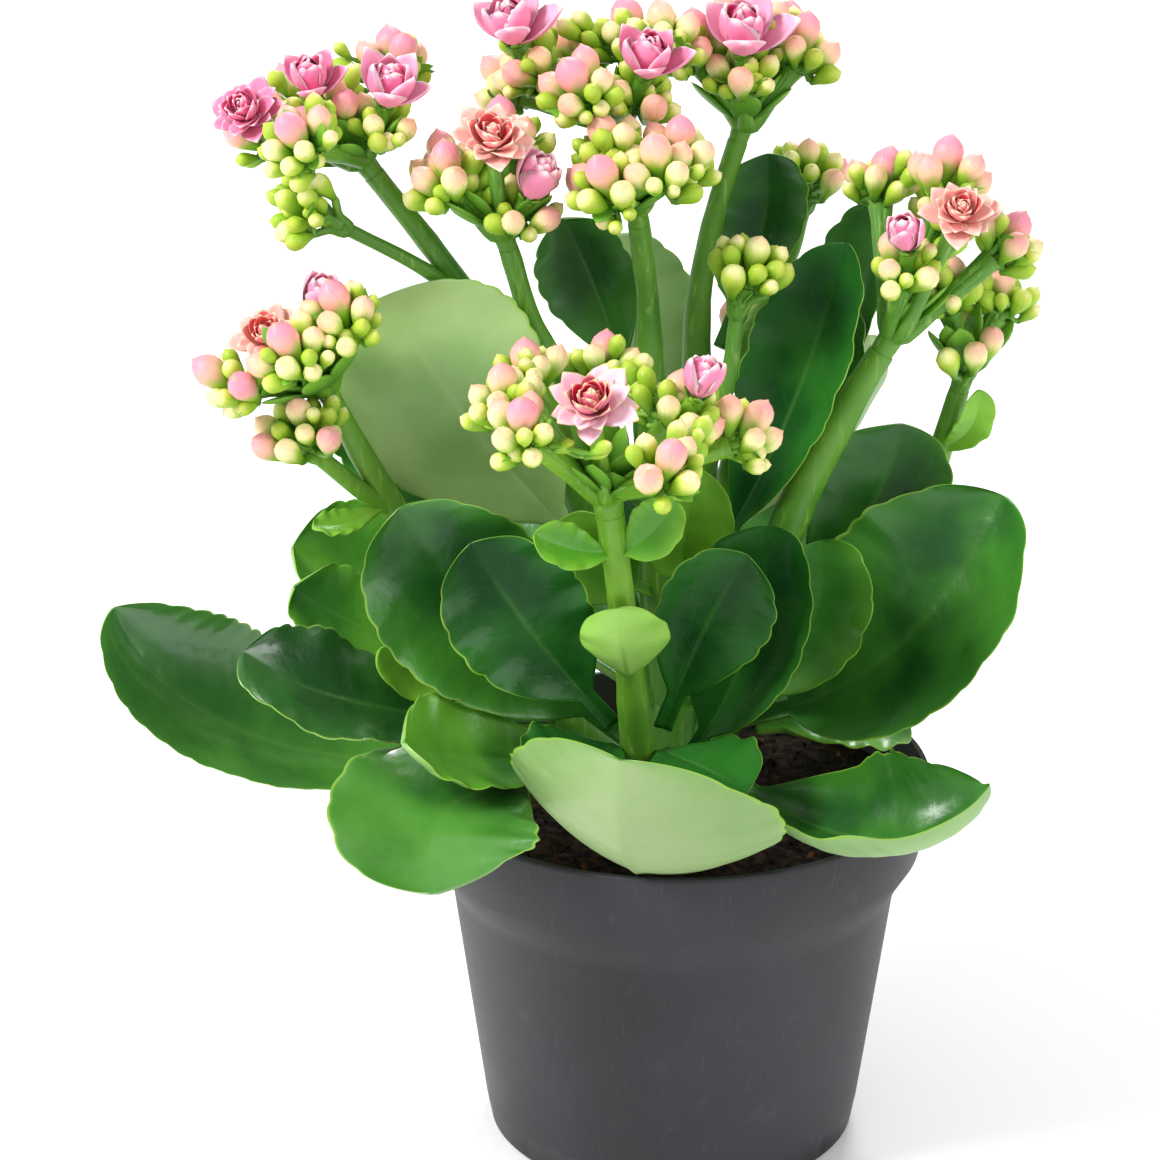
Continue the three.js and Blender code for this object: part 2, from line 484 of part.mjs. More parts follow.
// The arms, knots and cups of a head. Its buds are planned here and grown once they are parted.
function startHead(head) {
  const draw = seededDraws(head.seed);
  const skin = { points: [], triangles: [] };
  const stem = new THREE.CatmullRomCurve3(STEMS[head.on].path.map(vector));
  const up = stem.getTangent(1);
  const radius = STEMS[head.on].radii.at(-1);
  const foot = stem.getPoint(1).addScaledVector(up, SEAT_GAP);
  const [side, other] = acrossOf(up, anyAcross(up));
  const first = addRing(skin, ringAt(foot, side, other, radius, head.arms));
  addLid(skin, [...first].reverse());
  const hub = growKnot(skin, first, foot.clone().addScaledVector(up, radius), up, radius);
  const top = vector(head.top);
  const axis = top.clone().sub(foot).normalize();
  const arms = hub.sides.map((ring) => {
    const out = middleOf(skin, ring).sub(foot);
    out.addScaledVector(axis, -out.dot(axis)).normalize().multiplyScalar(ARM.share);
    const reach = new THREE.Vector3(head.spread[0], head.spread[1], head.spread[1]).multiply(out);
    return { ring, target: top.clone().add(reach).addScaledVector(axis, -head.drop * ARM.share ** 2) };
  });
  arms.push({ ring: hub.top, target: top });
  for (const bloom of head.blooms) {
    const free = arms.filter((arm) => !arm.bloom);
    const far = (arm) => arm.target.distanceTo(vector(bloom.at));
    free.reduce((best, arm) => (far(arm) < far(best) ? arm : best)).bloom = bloom;
  }
  const buds = [];
  const stalks = [];
  const plan = (ring, centre, size) => {
    const radius = size * (head.buds ?? 1) * mix(0.9, 1.08, draw());
    buds.push({ ring, root: middleOf(skin, ring), centre, radius });
  };
  arms.forEach((arm, k) => {
    if (arm.bloom && !arm.bloom.opening) {
      growCup(skin, arm.ring, arm.bloom);
      stalks.push([middleOf(skin, arm.ring), cupOf(arm.bloom).seat]);
    } else if (k < head.single && !arm.bloom) {
      plan(arm.ring, arm.target, mix(BUD.largest, BUD.middle, draw()));
    } else {
      const root = middleOf(skin, arm.ring);
      const target = arm.bloom ? cupOf(arm.bloom).neck : arm.target;
      const along = target.clone().sub(root).normalize();
      const rise = arm.bloom ? along : along.clone().addScaledVector(axis, ARM.lift).normalize();
      const end = arm.bloom
        ? root.clone().addScaledVector(along, Math.max(target.distanceTo(root) - CUP.reach, 3))
        : target.clone().addScaledVector(rise, -BUD.stalk);
      const ring = growOn(skin, arm.ring, rise, [[end, ARM.radius, 0]]);
      const centre = end.clone().addScaledVector(rise, ARM.radius);
      const knot = growKnot(skin, ring, centre, rise, ARM.radius * 1.15);
      stalks.push([root, end]);
      if (arm.bloom) {
        growCup(skin, knot.top, arm.bloom);
        stalks.push([centre, cupOf(arm.bloom).seat]);
      } else {
        plan(knot.top, target, BUD.middle);
      }
      for (const face of knot.sides) {
        const out = middleOf(skin, face).sub(centre);
        out.addScaledVector(rise, -out.dot(rise)).normalize();
        const way = rise.clone().multiplyScalar(Math.cos(BUD.splay)).addScaledVector(out, Math.sin(BUD.splay));
        const size = mix(BUD.smallest, BUD.largest, draw());
        plan(face, centre.clone().addScaledVector(way, BUD.stalk), size);
      }
    }
  });
  return { head, skin, buds, arms: stalks };
}

// How far something of the given reach round a point has to move to come clear of a ball or a stalk.
function clearOf(point, from, reach) {
  const way = point.clone().sub(from);
  const short = reach - way.length();
  return short > 0 ? way.setLength(short) : way.set(0, 0, 0);
}

function nearestOn([start, end], point) {
  const way = end.clone().sub(start);
  const t = point.clone().sub(start).dot(way) / way.lengthSq();
  return start.clone().addScaledVector(way, Math.min(Math.max(t, 0), 1));
}

// The ball that a bloom fills.
function ballOf(bloom) {
  const rise = bloom.size * (bloom.opening ? 0.4 : 0.16);
  const centre = vector(bloom.at).addScaledVector(vector(bloom.faces).normalize(), rise);
  return { centre, radius: bloom.size * (bloom.opening ? 0.5 : 0.46) };
}

// Parts the buds: each is moved clear of its neighbours, their stalks, the arms and the blooms, a little at a
// time, and keeps a stalk of a natural length.
function partBuds(heads) {
  const buds = heads.flatMap((head) => head.buds);
  const arms = heads.flatMap((head) => head.arms);
  const blooms = HEADS.flatMap((head) => head.blooms.map(ballOf));
  for (let round = 0; round < PART.rounds; round++) {
    for (const bud of buds) {
      const push = new THREE.Vector3();
      for (const other of buds) {
        if (other === bud || other.centre.distanceTo(bud.centre) > PART.within) continue;
        push.addScaledVector(clearOf(bud.centre, other.centre, bud.radius + other.radius + BUD.apart), 0.5);
        const stalk = [other.root, other.root.clone().lerp(other.centre, 0.7)];
        push.addScaledVector(clearOf(bud.centre, nearestOn(stalk, bud.centre), bud.radius + PART.stalk), 0.5);
        const own = nearestOn([bud.root, bud.root.clone().lerp(bud.centre, 0.7)], other.centre);
        push.addScaledVector(clearOf(own, other.centre, other.radius + PART.stalk), 0.5);
      }
      for (const arm of arms) push.add(clearOf(bud.centre, nearestOn(arm, bud.centre), bud.radius + PART.arm));
      for (const bloom of blooms) {
        push.add(clearOf(bud.centre, bloom.centre, bloom.radius + bud.radius + BLOOM_CLEAR));
      }
      const way = bud.centre.clone().add(push).sub(bud.root);
      bud.centre.copy(bud.root).add(way.clampLength(PART.shortest, PART.longest));
    }
  }
}

function finishHead({ skin, buds }) {
  for (const bud of buds) growBud(skin, bud.ring, bud);
  return solid(skin.points, skin.triangles);
}

// ---------------------------------------------------------------- the blooms

// A bloom is grown as one skin from a core of stacked rings: each side face between two rings carries a petal.
// A bloom that is still opening has one layer of petals round a closed bud.
// A layer says how wide the core is above it, how long and wide its petals are, how steeply they rise at the
// foot and at the tip, and how far each is spun on its own rib, so that it passes its neighbour's margin.
// All sizes are shares of the bloom's half width, and turn is a share of the step from petal to petal.
const ROSE = [
  { core: 0.36, height: 0.16, turn: 0.35, length: 0.72, width: 0.66, foot: 0.1, tip: 0.0, spin: 0.15 },
  { core: 0.34, height: 0.34, turn: 0.7, length: 0.6, width: 0.56, foot: 0.5, tip: 0.3, spin: 0.3 },
  { core: 0.22, height: 0.5, turn: 1.05, length: 0.42, width: 0.36, foot: 0.95, tip: 0.8, spin: 0.5 },
];
const TULIP = [{ core: 0.5, height: 0.3, turn: 0, length: 1.2, width: 0.7, foot: 0.8, tip: 1.45, spin: 0.1 }];
const CORE = { sides: 5, foot: 0.26, openingFoot: 0.45, point: 0.14, bud: 0.42, budHeight: 1, budTurn: 0.5 };

function growPetal(skin, face, radius, layer) {
  const root = middleOf(skin, face);
  const up = new THREE.Vector3(0, 0, 1);
  const out = new THREE.Vector3(root.x, root.y, 0).normalize();
  const step = (rise) => out.clone().multiplyScalar(Math.cos(rise)).addScaledVector(up, Math.sin(rise));
  const half = (layer.length * radius) / 2;
  const middle = root.clone().addScaledVector(step(layer.foot), half);
  const tip = middle.clone().addScaledVector(step(layer.tip), half);
  const faces = up.clone().multiplyScalar(Math.cos(layer.foot)).addScaledVector(out, -Math.sin(layer.foot))
    .addScaledVector(new THREE.Vector3().crossVectors(up, out), Math.tan(layer.spin));
  const rings = [[0.5, 0.95], [0.82, 0.8]].map(([u, share]) => {
    const [point, along] = alongRib([root, middle, tip], u);
    return bladeRing(point, along, faces, (layer.width * radius * share) / 2, PETAL.thick, PETAL, 2);
  });
  // a face leans to the right, so that its upper right corner leads to the blade's right margin
  const order = rings.map((ring) => addRing(skin, ring));
  const [a, b, c, d] = face;
  addWall(skin, [c, d, a, b], order[0]);
  addWall(skin, order[0], order[1]);
  const [end] = addRing(skin, [tip]);
  order[1].forEach((index, j) => skin.triangles.push(index, order[1][(j + 1) % 4], end));
}

// A bloom stands on its own origin and looks up, and is then placed on its cup.
function bloomSolid(bloom) {
  const radius = bloom.size / 2;
  const skin = { points: [], triangles: [] };
  const across = [new THREE.Vector3(1, 0, 0), new THREE.Vector3(0, 1, 0)];
  const coreRing = (height, wide, turn) => addRing(skin,
    ringAt(new THREE.Vector3(0, 0, height * radius), ...across, wide * radius, CORE.sides, turn));
  let ring = coreRing(0, bloom.opening ? CORE.openingFoot : CORE.foot, 0);
  addLid(skin, [...ring].reverse());
  for (const layer of bloom.opening ? TULIP : ROSE) {
    const next = coreRing(layer.height, layer.core, layer.turn);
    ring.forEach((a, j) => {
      const k = (j + 1) % ring.length;
      growPetal(skin, [a, ring[k], next[k], next[j]], radius, layer);
    });
    ring = next;
  }
  if (bloom.opening) {
    const bud = coreRing(CORE.budHeight, CORE.bud, CORE.budTurn);
    addWall(skin, ring, bud);
    ring = bud;
  }
  const peak = middleOf(skin, ring).add(new THREE.Vector3(0, 0, CORE.point * radius));
  const [tip] = addRing(skin, [peak]);
  ring.forEach((a, j) => skin.triangles.push(a, ring[(j + 1) % ring.length], tip));
  return solid(skin.points, skin.triangles);
}

// ---------------------------------------------------------------- the pot and its soil

// The outside of the pot from its foot up: radius and height.
const OUTSIDE = [
  [POT.footRadius - 3, 0],
  [POT.footRadius - 0.7, 1.2],
  [POT.footRadius + 0.6, 8],
  [52, POT.bandFoot - 11],
  [53.5, POT.bandFoot - 7],
  [57.8, POT.bandFoot],
  [POT.rimRadius, POT.height - 1],
];
const INSIDE = OUTSIDE.slice(1).map(([radius, height]) => [radius - POT.wall, height]);
const INNER_FOOT = INSIDE[0][0];

function solidOf(geometry) {
  geometry.deleteAttribute('normal');
  geometry.deleteAttribute('uv');
  const merged = mergeVertices(geometry, 1e-3);
  const index = merged.index.array;
  const triangles = [];
  for (let i = 0; i < index.length; i += 3) {
    const [a, b, c] = index.subarray(i, i + 3);
    if (a !== b && b !== c && c !== a) triangles.push(a, b, c);
  }
  return new wasm.Manifold(new wasm.Mesh({
    numProp: 3,
    vertProperties: merged.attributes.position.array,
    triVerts: new Uint32Array(triangles),
  }));
}

// A thin tapered pot, turned from one closed outline, with a stiffer band at its rim and holes to drain it.
function potSolid() {
  const outline = [
    [0, 0],
    ...OUTSIDE,
    [POT.rimRadius - 0.3, POT.height],
    [POT.rimRadius - POT.wall, POT.height],
    ...INSIDE.slice(1, -1).reverse(),
    [INNER_FOOT, POT.floor],
    [0, POT.floor],
  ];
  const turned = new THREE.LatheGeometry(outline.map(([r, z]) => new THREE.Vector2(r, z)), POT.sides);
  let pot = solidOf(turned.rotateX(Math.PI / 2));
  for (let k = 0; k < POT.drainHoles; k++) {
    const angle = (2 * Math.PI * (k + 0.5)) / POT.drainHoles;
    const drill = new THREE.CylinderGeometry(POT.drainRadius, POT.drainRadius, 3 * POT.floor, 8);
    drill.rotateX(Math.PI / 2);
    drill.translate(POT.drainCircle * Math.cos(angle), POT.drainCircle * Math.sin(angle), POT.floor / 2);
    pot = pot.subtract(solidOf(drill));
  }
  return pot;
}

// The radius inside the pot at a height.
function insideAt(height) {
  const above = Math.max(1, INSIDE.findIndex(([, z]) => z >= height));
  const [[r0, z0], [r1, z1]] = [INSIDE[above - 1], INSIDE[above]];
  return mix(r0, r1, (height - z0) / (z1 - z0));
}

// The soil fills the pot and is uneven on top. The trunk stands in a plain hole in it.
function soilSolid(hole) {
  const draw = seededDraws(1);
  const up = new THREE.Vector3(0, 0, 1);
  const [side, other] = acrossOf(up, new THREE.Vector3(1, 0, 0));
  const wallHeights = [SOIL.bottom, INSIDE[1][1], INSIDE[2][1], INSIDE[3][1], SOIL.top];
  const rings = wallHeights.map((z) => ringAt(
    new THREE.Vector3(0, 0, z), side, other, insideAt(z) - SEAT_GAP - 0.4, SOIL.sides));
  for (const share of [0.78, 0.48, 0.24]) {
    const ring = ringAt(new THREE.Vector3(0, 0, SOIL.top), side, other, insideAt(SOIL.top) * share, SOIL.sides);
    for (const point of ring) point.z += mix(-1, 1, draw()) * SOIL.unevenness;
    rings.push(ring);
  }
  return loft(rings, new THREE.Vector3(0, 0, SOIL.top)).subtract(hole);
}

// ---------------------------------------------------------------- the whole plant in its pot

const plant = new THREE.Group();

const stems = join([
  ...Object.values(STEMS).map((stem) => tube(stem.path, stem.radii, stem.steps, STEM_SIDES)),
  ...BRACTS.map((bract) => leafSolid(bract, BRACT).translate(bract.rib[0])),
]);
const [trunkX, trunkY, trunkFoot] = TRUNK.foot;
const hole = new THREE.CylinderGeometry(TRUNK.radius + 0.6, TRUNK.radius + 0.6, 40, 12).rotateX(Math.PI / 2)
  .translate(trunkX, trunkY, trunkFoot - SEAT_GAP + 20);

plant.add(piece('pot', potSolid(), FINISH.pot));
plant.add(piece('soil', soilSolid(solidOf(hole)), FINISH.soil));
plant.add(piece('stems', stems, FINISH.stem));

for (const leaf of LEAVES) {
  const mesh = piece(leaf.name, leafSolid(leaf, LEAF), leaf.pale ? FINISH.paleLeaf : FINISH.leaf);
  mesh.position.set(...leaf.rib[0]);
  plant.add(mesh);
}

const heads = HEADS.map(startHead);
partBuds(heads);
for (const started of heads) {
  plant.add(piece(started.head.name, finishHead(started), FINISH.head));
  for (const bloom of started.head.blooms) {
    const mesh = piece(bloom.name, bloomSolid(bloom), FINISH.petal);
    mesh.position.set(...bloom.at);
    mesh.quaternion.setFromUnitVectors(new THREE.Vector3(0, 0, 1), vector(bloom.faces).normalize());
    plant.add(mesh);
  }
}

export default plant;
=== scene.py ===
# %% [markdown]
# # A pink double kalanchoe in a grey nursery pot
#
# The plant is a small succulent shrub. Thick green leaves hide its stems, and each flower stem ends in a
# branching head of buds, some of which have opened into small double flowers. The solid model already says
# where every stem, leaf, head and flower is. This script keeps those places and makes each piece again with
# the fine shape and the finish of the real one. Tables are in millimetres, as a grower would measure, and
# meshes are in metres.

# %% Load the solid model
import json
import math

import bpy
import numpy as np
from mathutils import Matrix, Vector

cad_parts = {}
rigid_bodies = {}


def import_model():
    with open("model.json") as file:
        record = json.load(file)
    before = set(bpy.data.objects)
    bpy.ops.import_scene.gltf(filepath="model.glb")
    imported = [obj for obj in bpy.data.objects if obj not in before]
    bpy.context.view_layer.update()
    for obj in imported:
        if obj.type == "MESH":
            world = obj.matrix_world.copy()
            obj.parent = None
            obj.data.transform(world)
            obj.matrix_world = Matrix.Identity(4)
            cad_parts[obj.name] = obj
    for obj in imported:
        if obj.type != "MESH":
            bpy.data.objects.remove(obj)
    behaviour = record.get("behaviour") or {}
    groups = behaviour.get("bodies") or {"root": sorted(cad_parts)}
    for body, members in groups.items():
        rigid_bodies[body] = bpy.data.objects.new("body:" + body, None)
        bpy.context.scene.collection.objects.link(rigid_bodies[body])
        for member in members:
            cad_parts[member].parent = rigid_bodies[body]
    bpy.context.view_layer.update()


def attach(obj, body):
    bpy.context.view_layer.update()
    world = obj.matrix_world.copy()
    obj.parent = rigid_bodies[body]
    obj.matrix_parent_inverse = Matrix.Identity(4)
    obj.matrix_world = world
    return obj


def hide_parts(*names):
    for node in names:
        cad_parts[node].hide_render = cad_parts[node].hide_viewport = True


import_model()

MM = 0.001

# %% [markdown]
# ## The camera
#
# The picture is taken from about a metre away with a long lens, looking down on the plant at 22 degrees. The
# long lens keeps the pot from looking bulged. The camera looks along +Y, so its place follows from the point
# it looks at, its distance and its pitch.

# %% Camera
PICTURE_SIDE = 1160
FOCAL_LENGTH_PIXELS = 4350
SENSOR_WIDTH = 36.0
LOOK_AT = Vector((-22, 0, 137.5)) * MM
CAMERA_DISTANCE = 1.0
CAMERA_PITCH = math.radians(22)

camera_data = bpy.data.cameras.new("camera")
camera_data.sensor_width = SENSOR_WIDTH
camera_data.lens = FOCAL_LENGTH_PIXELS / PICTURE_SIDE * SENSOR_WIDTH
camera = bpy.data.objects.new("camera", camera_data)
camera.location = LOOK_AT + CAMERA_DISTANCE * Vector((0, -math.cos(CAMERA_PITCH), math.sin(CAMERA_PITCH)))
camera.rotation_euler = (math.pi / 2 - CAMERA_PITCH, 0, 0)
bpy.context.scene.collection.objects.link(camera)
bpy.context.scene.camera = camera
print("camera lens:", camera_data.lens, "mm")

# %% [markdown]
# ## Helpers for node trees
#
# Shader trees and geometry trees are both built by hand below. These short helpers add a node, set or link
# its inputs by name and give back the socket that is wanted, so that a tree reads like a list of steps.

# %% Node helpers
def socket_named(sockets, key):
    if isinstance(key, int):
        return sockets[key]
    return next(socket for socket in sockets if socket.name == key and socket.enabled)


def add_node(tree, kind, inputs=None, **settings):
    node = tree.nodes.new(kind)
    for key, value in settings.items():
        setattr(node, key, value)
    for key, value in (inputs or {}).items():
        socket = socket_named(node.inputs, key)
        if isinstance(value, bpy.types.NodeSocket):
            tree.links.new(value, socket)
        else:
            socket.default_value = value
    return node


def step(tree, kind, inputs=None, **settings):
    """Adds a node and gives back its first output."""
    return add_node(tree, kind, inputs, **settings).outputs[0]


def feed(tree, inputs, **sockets):
    """Links each socket to the input of its name."""
    for name, socket in sockets.items():
        tree.links.new(socket, inputs[name.replace("_", " ")])


def new_tree(name, kind, inputs, outputs):
    tree = bpy.data.node_groups.new(name, kind)
    for socket_name, socket_type, default in inputs:
        socket = tree.interface.new_socket(socket_name, in_out="INPUT", socket_type=socket_type)
        if default is not None:
            socket.default_value = default
    for socket_name, socket_type in outputs:
        tree.interface.new_socket(socket_name, in_out="OUTPUT", socket_type=socket_type)
    return tree, tree.nodes.new("NodeGroupInput").outputs, tree.nodes.new("NodeGroupOutput").inputs


print("node helpers ready")


# %% Steps that many finishes share
def calculate(tree, operation, *values):
    return step(tree, "ShaderNodeMath", dict(enumerate(values)), operation=operation)


def step_between(tree, value, low, high, to_low=0.0, to_high=1.0):
    ranges = {"Value": value, "From Min": low, "From Max": high, "To Min": to_low, "To Max": to_high}
    return step(tree, "ShaderNodeMapRange", ranges, interpolation_type="SMOOTHSTEP")


def mix_colours(tree, factor, first, second):
    return add_node(tree, "ShaderNodeMix", {0: factor, 6: first, 7: second}, data_type="RGBA").outputs[2]


def noise(tree, vector, scale, detail=3.0):
    return step(tree, "ShaderNodeTexNoise", {"Vector": vector, "Scale": scale, "Detail": detail})


def object_place(tree):
    return add_node(tree, "ShaderNodeTexCoord").outputs["Object"]


def stretched(tree, vector, scale):
    return step(tree, "ShaderNodeMapping", {"Vector": vector, "Scale": scale})


def split(tree, vector):
    return add_node(tree, "ShaderNodeSeparateXYZ", {0: vector}).outputs


def uv_map(tree):
    return step(tree, "ShaderNodeUVMap", uv_map="UVMap")


def stored(tree, name):
    """A value that the mesh carries at its points."""
    return add_node(tree, "ShaderNodeAttribute", attribute_name=name).outputs["Fac"]


def from_middle(tree, share):
    """How far a share from 0 to 1 lies from a half, as 0 in the middle and 1 at both ends."""
    return calculate(tree, "ABSOLUTE", calculate(tree, "MULTIPLY_ADD", share, 2.0, -1.0))


def relief_normal(tree, height, strength, depth=0.0003):
    return step(tree, "ShaderNodeBump", {"Strength": strength, "Distance": depth, "Height": height})


print("shared steps ready")


# %% Materials and colours
def new_material(name, **constants):
    material = bpy.data.materials.new(name)
    material.use_nodes = True
    shader = material.node_tree.nodes["Principled BSDF"]
    for socket_name, value in constants.items():
        shader.inputs[socket_name.replace("_", " ")].default_value = value
    return material, material.node_tree, shader


def place_group(tree, group, **values):
    """Places a shared group in a material, with the material's own values, and gives back its outputs."""
    node = tree.nodes.new("ShaderNodeGroup")
    node.node_tree = group
    for socket_name, value in values.items():
        node.inputs[socket_name.replace("_", " ")].default_value = value
    return node.outputs


def linear_value(shown):
    share = shown / 255
    return share / 12.92 if share <= 0.04045 else ((share + 0.055) / 1.055) ** 2.4


def rgb(red, green, blue):
    """A colour as it looks on screen, 0 to 255, turned into the linear values that Blender mixes."""
    return (linear_value(red), linear_value(green), linear_value(blue), 1.0)


print("half bright on screen is", round(linear_value(128), 3), "in linear light")

# %% [markdown]
# ## The studio
#
# The plant stands on a plain white floor in soft light. A white sky lights it from all round, as a light tent
# does, and three lamps shape it: a key from the upper left, a wider and weaker fill from the right and a small
# one from behind, which puts the shine of wax on the leaves. The standard view keeps white white and the
# petals their own pink.

# %% Floor and sky
FLOOR_SIDE = 12.0
FLOOR_WHITE = 254
SKY_COLOUR = (0.99, 0.995, 1.0, 1.0)
SKY_STRENGTH = 0.6

scene = bpy.context.scene
scene.view_settings.view_transform = "Standard"
world = bpy.data.worlds.new("studio")
scene.world = world
world.use_nodes = True
sky = world.node_tree.nodes["Background"]
sky.inputs["Color"].default_value = SKY_COLOUR
sky.inputs["Strength"].default_value = SKY_STRENGTH

half = FLOOR_SIDE / 2
floor_mesh = bpy.data.meshes.new("floor")
floor_corners = [(-half, -half, 0), (half, -half, 0), (half, half, 0), (-half, half, 0)]
floor_mesh.from_pydata(floor_corners, [], [(0, 1, 2, 3)])
floor = bpy.data.objects.new("floor", floor_mesh)
scene.collection.objects.link(floor)
floor_paint, _, _ = new_material("floor_paint", Base_Color=rgb(*[FLOOR_WHITE] * 3), Roughness=0.8)
floor_mesh.materials.append(floor_paint)
print("studio: floor", FLOOR_SIDE, "m, sky", SKY_STRENGTH)

# %% Lamps
# place in metres, side in metres, power in watts
LAMPS = {
    "key": ((-1.25, -0.55, 1.4), 0.6, 34),
    "fill": ((1.3, -0.8, 0.9), 0.9, 10),
    "back": ((0.3, 1.3, 1.4), 0.45, 15),
}
for name, (place, side, power) in LAMPS.items():
    lamp_data = bpy.data.lights.new(name, "AREA")
    lamp_data.size = side
    lamp_data.energy = power
    lamp = bpy.data.objects.new(name, lamp_data)
    lamp.location = place
    lamp.rotation_euler = (LOOK_AT - Vector(place)).to_track_quat("-Z", "Y").to_euler()
    scene.collection.objects.link(lamp)
print("lamps:", sorted(LAMPS))

# %% [markdown]
# ## Measuring tools
#
# Everything grows along smooth curves. A stem's path is a chain of points joined by a curve whose pace follows
# the spacing of the points, so that it never overshoots. Directions across a path are carried from one point
# to the next. Random draws come from a small generator with a fixed seed, so the plant is the same each time.

# %% Vectors and draws
DRAW_FACTOR = 1664525
DRAW_SHIFT = 1013904223
DRAW_RANGE = 2 ** 32


def at(*values):
    return np.array(values, float)


def unit(vector):
    return vector / np.linalg.norm(vector)


def mix(a, b, t):
    return a + (b - a) * t


def smooth(low, high, value):
    t = np.clip((value - low) / (high - low), 0, 1)
    return t * t * (3 - 2 * t)


def seeded_draws(seed):
    """Draws from 0 to 1 that are the same for the same seed."""
    state = seed

    def draw():
        nonlocal state
        state = (state * DRAW_FACTOR + DRAW_SHIFT) % DRAW_RANGE
        return state / DRAW_RANGE

    return draw


print("first draw of seed 1:", round(seeded_draws(1)(), 4))


# %% Directions and curves
def across_of(along, lead):
    """Two directions square to along, the first of them as near to lead as can be."""
    side = unit(lead - lead @ along * along)
    return side, np.cross(along, side)


def any_across(along):
    lead = at(0, 0, 1) if abs(along[2]) < 0.9 else at(0, 1, 0)
    return across_of(along, lead)[0]


def path_point(path, t):
    """The point at share t of a smooth curve through the points of the path."""
    path = [at(*point) for point in path]
    place = (len(path) - 1) * t
    k = min(int(place), len(path) - 2)
    b, c = path[k], path[k + 1]
    a = path[k - 1] if k > 0 else 2 * b - c
    d = path[k + 2] if k + 2 < len(path) else 2 * c - b
    ab, bc, cd = (np.linalg.norm(q - p) ** 0.5 for p, q in ((a, b), (b, c), (c, d)))
    leave = ((b - a) / ab - (c - a) / (ab + bc) + (c - b) / bc) * bc
    arrive = ((c - b) / bc - (d - b) / (bc + cd) + (d - c) / cd) * bc
    w = place - k
    return b + w * (leave + w * (3 * (c - b) - 2 * leave - arrive + w * (2 * (b - c) + leave + arrive)))


def path_direction(path, t):
    nearby = 1e-4
    return unit(path_point(path, min(t + nearby, 1)) - path_point(path, max(t - nearby, 0)))


print("curve test, middle of a straight path:", path_point([(0, 0, 0), (2, 0, 0)], 0.5))

# %% [markdown]
# ## From numbers to pieces
#
# Each shape below works out its points with numpy. Most are closed skins: rings of points with a fan of faces
# at each end, which leaves no hole and no seam. The helpers turn points and faces into a mesh, in metres, with
# a UV map and any per-point values that the finish needs. A piece is then told which body it rides on and
# which solid it stands for.

# %% Mesh helpers
def skin_over(rings, sides, first_pole, last_pole, start=0):
    """Faces over rings of points, from the first ring to the last, with a fan to a pole at each end."""
    def point(i, j):
        return start + i * sides + j % sides

    faces = [(first_pole, point(0, j + 1), point(0, j)) for j in range(sides)]
    faces += [(point(i, j), point(i, j + 1), point(i + 1, j + 1), point(i + 1, j))
              for i in range(rings - 1) for j in range(sides)]
    faces += [(last_pole, point(rings - 1, j), point(rings - 1, j + 1)) for j in range(sides)]
    return faces


def turned_over(faces):
    return [(face[0], *face[:0:-1]) for face in faces]


def new_mesh_object(name, points, faces=(), edges=(), uv=None, values=None):
    mesh = bpy.data.meshes.new(name)
    mesh.from_pydata(np.asarray(points) * MM, list(edges), list(faces))
    for key, numbers in (values or {}).items():
        numbers = np.asarray(numbers, np.float32)
        kind, field = ("FLOAT", "value") if numbers.ndim == 1 else ("FLOAT_VECTOR", "vector")
        mesh.attributes.new(key, kind, "POINT").data.foreach_set(field, numbers.ravel())
    if uv is not None:
        corners = np.zeros(len(mesh.loops), np.int32)
        mesh.loops.foreach_get("vertex_index", corners)
        layer = mesh.uv_layers.new(name="UVMap")
        layer.data.foreach_set("uv", np.asarray(uv, np.float32)[corners].ravel())
    mesh.shade_smooth()
    built = bpy.data.objects.new(name, mesh)
    scene.collection.objects.link(built)
    return built


print("a skin over 2 rings of 3 points has", len(skin_over(2, 3, 6, 7)), "faces")


# %% Modifiers and pieces
def apply_modifiers(built):
    """Keeps what the modifiers make as the object's own plain mesh."""
    evaluated = built.evaluated_get(bpy.context.evaluated_depsgraph_get())
    grown = bpy.data.meshes.new_from_object(evaluated)
    built.modifiers.clear()
    plan, built.data = built.data, grown
    grown.name = built.name
    bpy.data.meshes.remove(plan)
    return built


def set_inputs(modifier, **values):
    """Sets a tree's inputs on its modifier, each by its socket's identifier."""
    for item in modifier.node_group.interface.items_tree:
        key = item.name.replace(" ", "_").lower()
        if item.item_type == "SOCKET" and item.in_out == "INPUT" and key in values:
            modifier[item.identifier] = values[key]


def grow_with(built, tree, **values):
    """Runs a geometry tree on an object and keeps its result as a plain mesh."""
    modifier = built.modifiers.new(tree.name, "NODES")
    modifier.node_group = tree
    set_inputs(modifier, **values)
    return apply_modifiers(built)


def finish_piece(built, slot, *nodes, material=None):
    if material is not None:
        built.data.materials.clear()
        built.data.materials.append(material)
    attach(built, "root")
    if nodes:
        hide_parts(*nodes)
    return built


print("piece helpers ready")

# %% [markdown]
# ## Leaf skin
#
# A kalanchoe leaf is thick and waxy. Its upper side is deep green with a faint lighter net of veins, its
# margin is a thin bright yellow-green line with a touch of red, and its underside is pale and dull. Each leaf
# carries a UV map that runs from stalk to tip and from margin to margin, and a value that tells its two sides
# apart. One node group turns these into colour, roughness and relief. Each leaf finish places that group with
# greens of its own, and has its own gloss, because a leaf that is wet or faces a window shines more.

# %% Leaf veins
VEIN_PAIRS = 8.0
VEIN_SLANT = -2.0
SIDE_VEIN_STRENGTH = 0.14


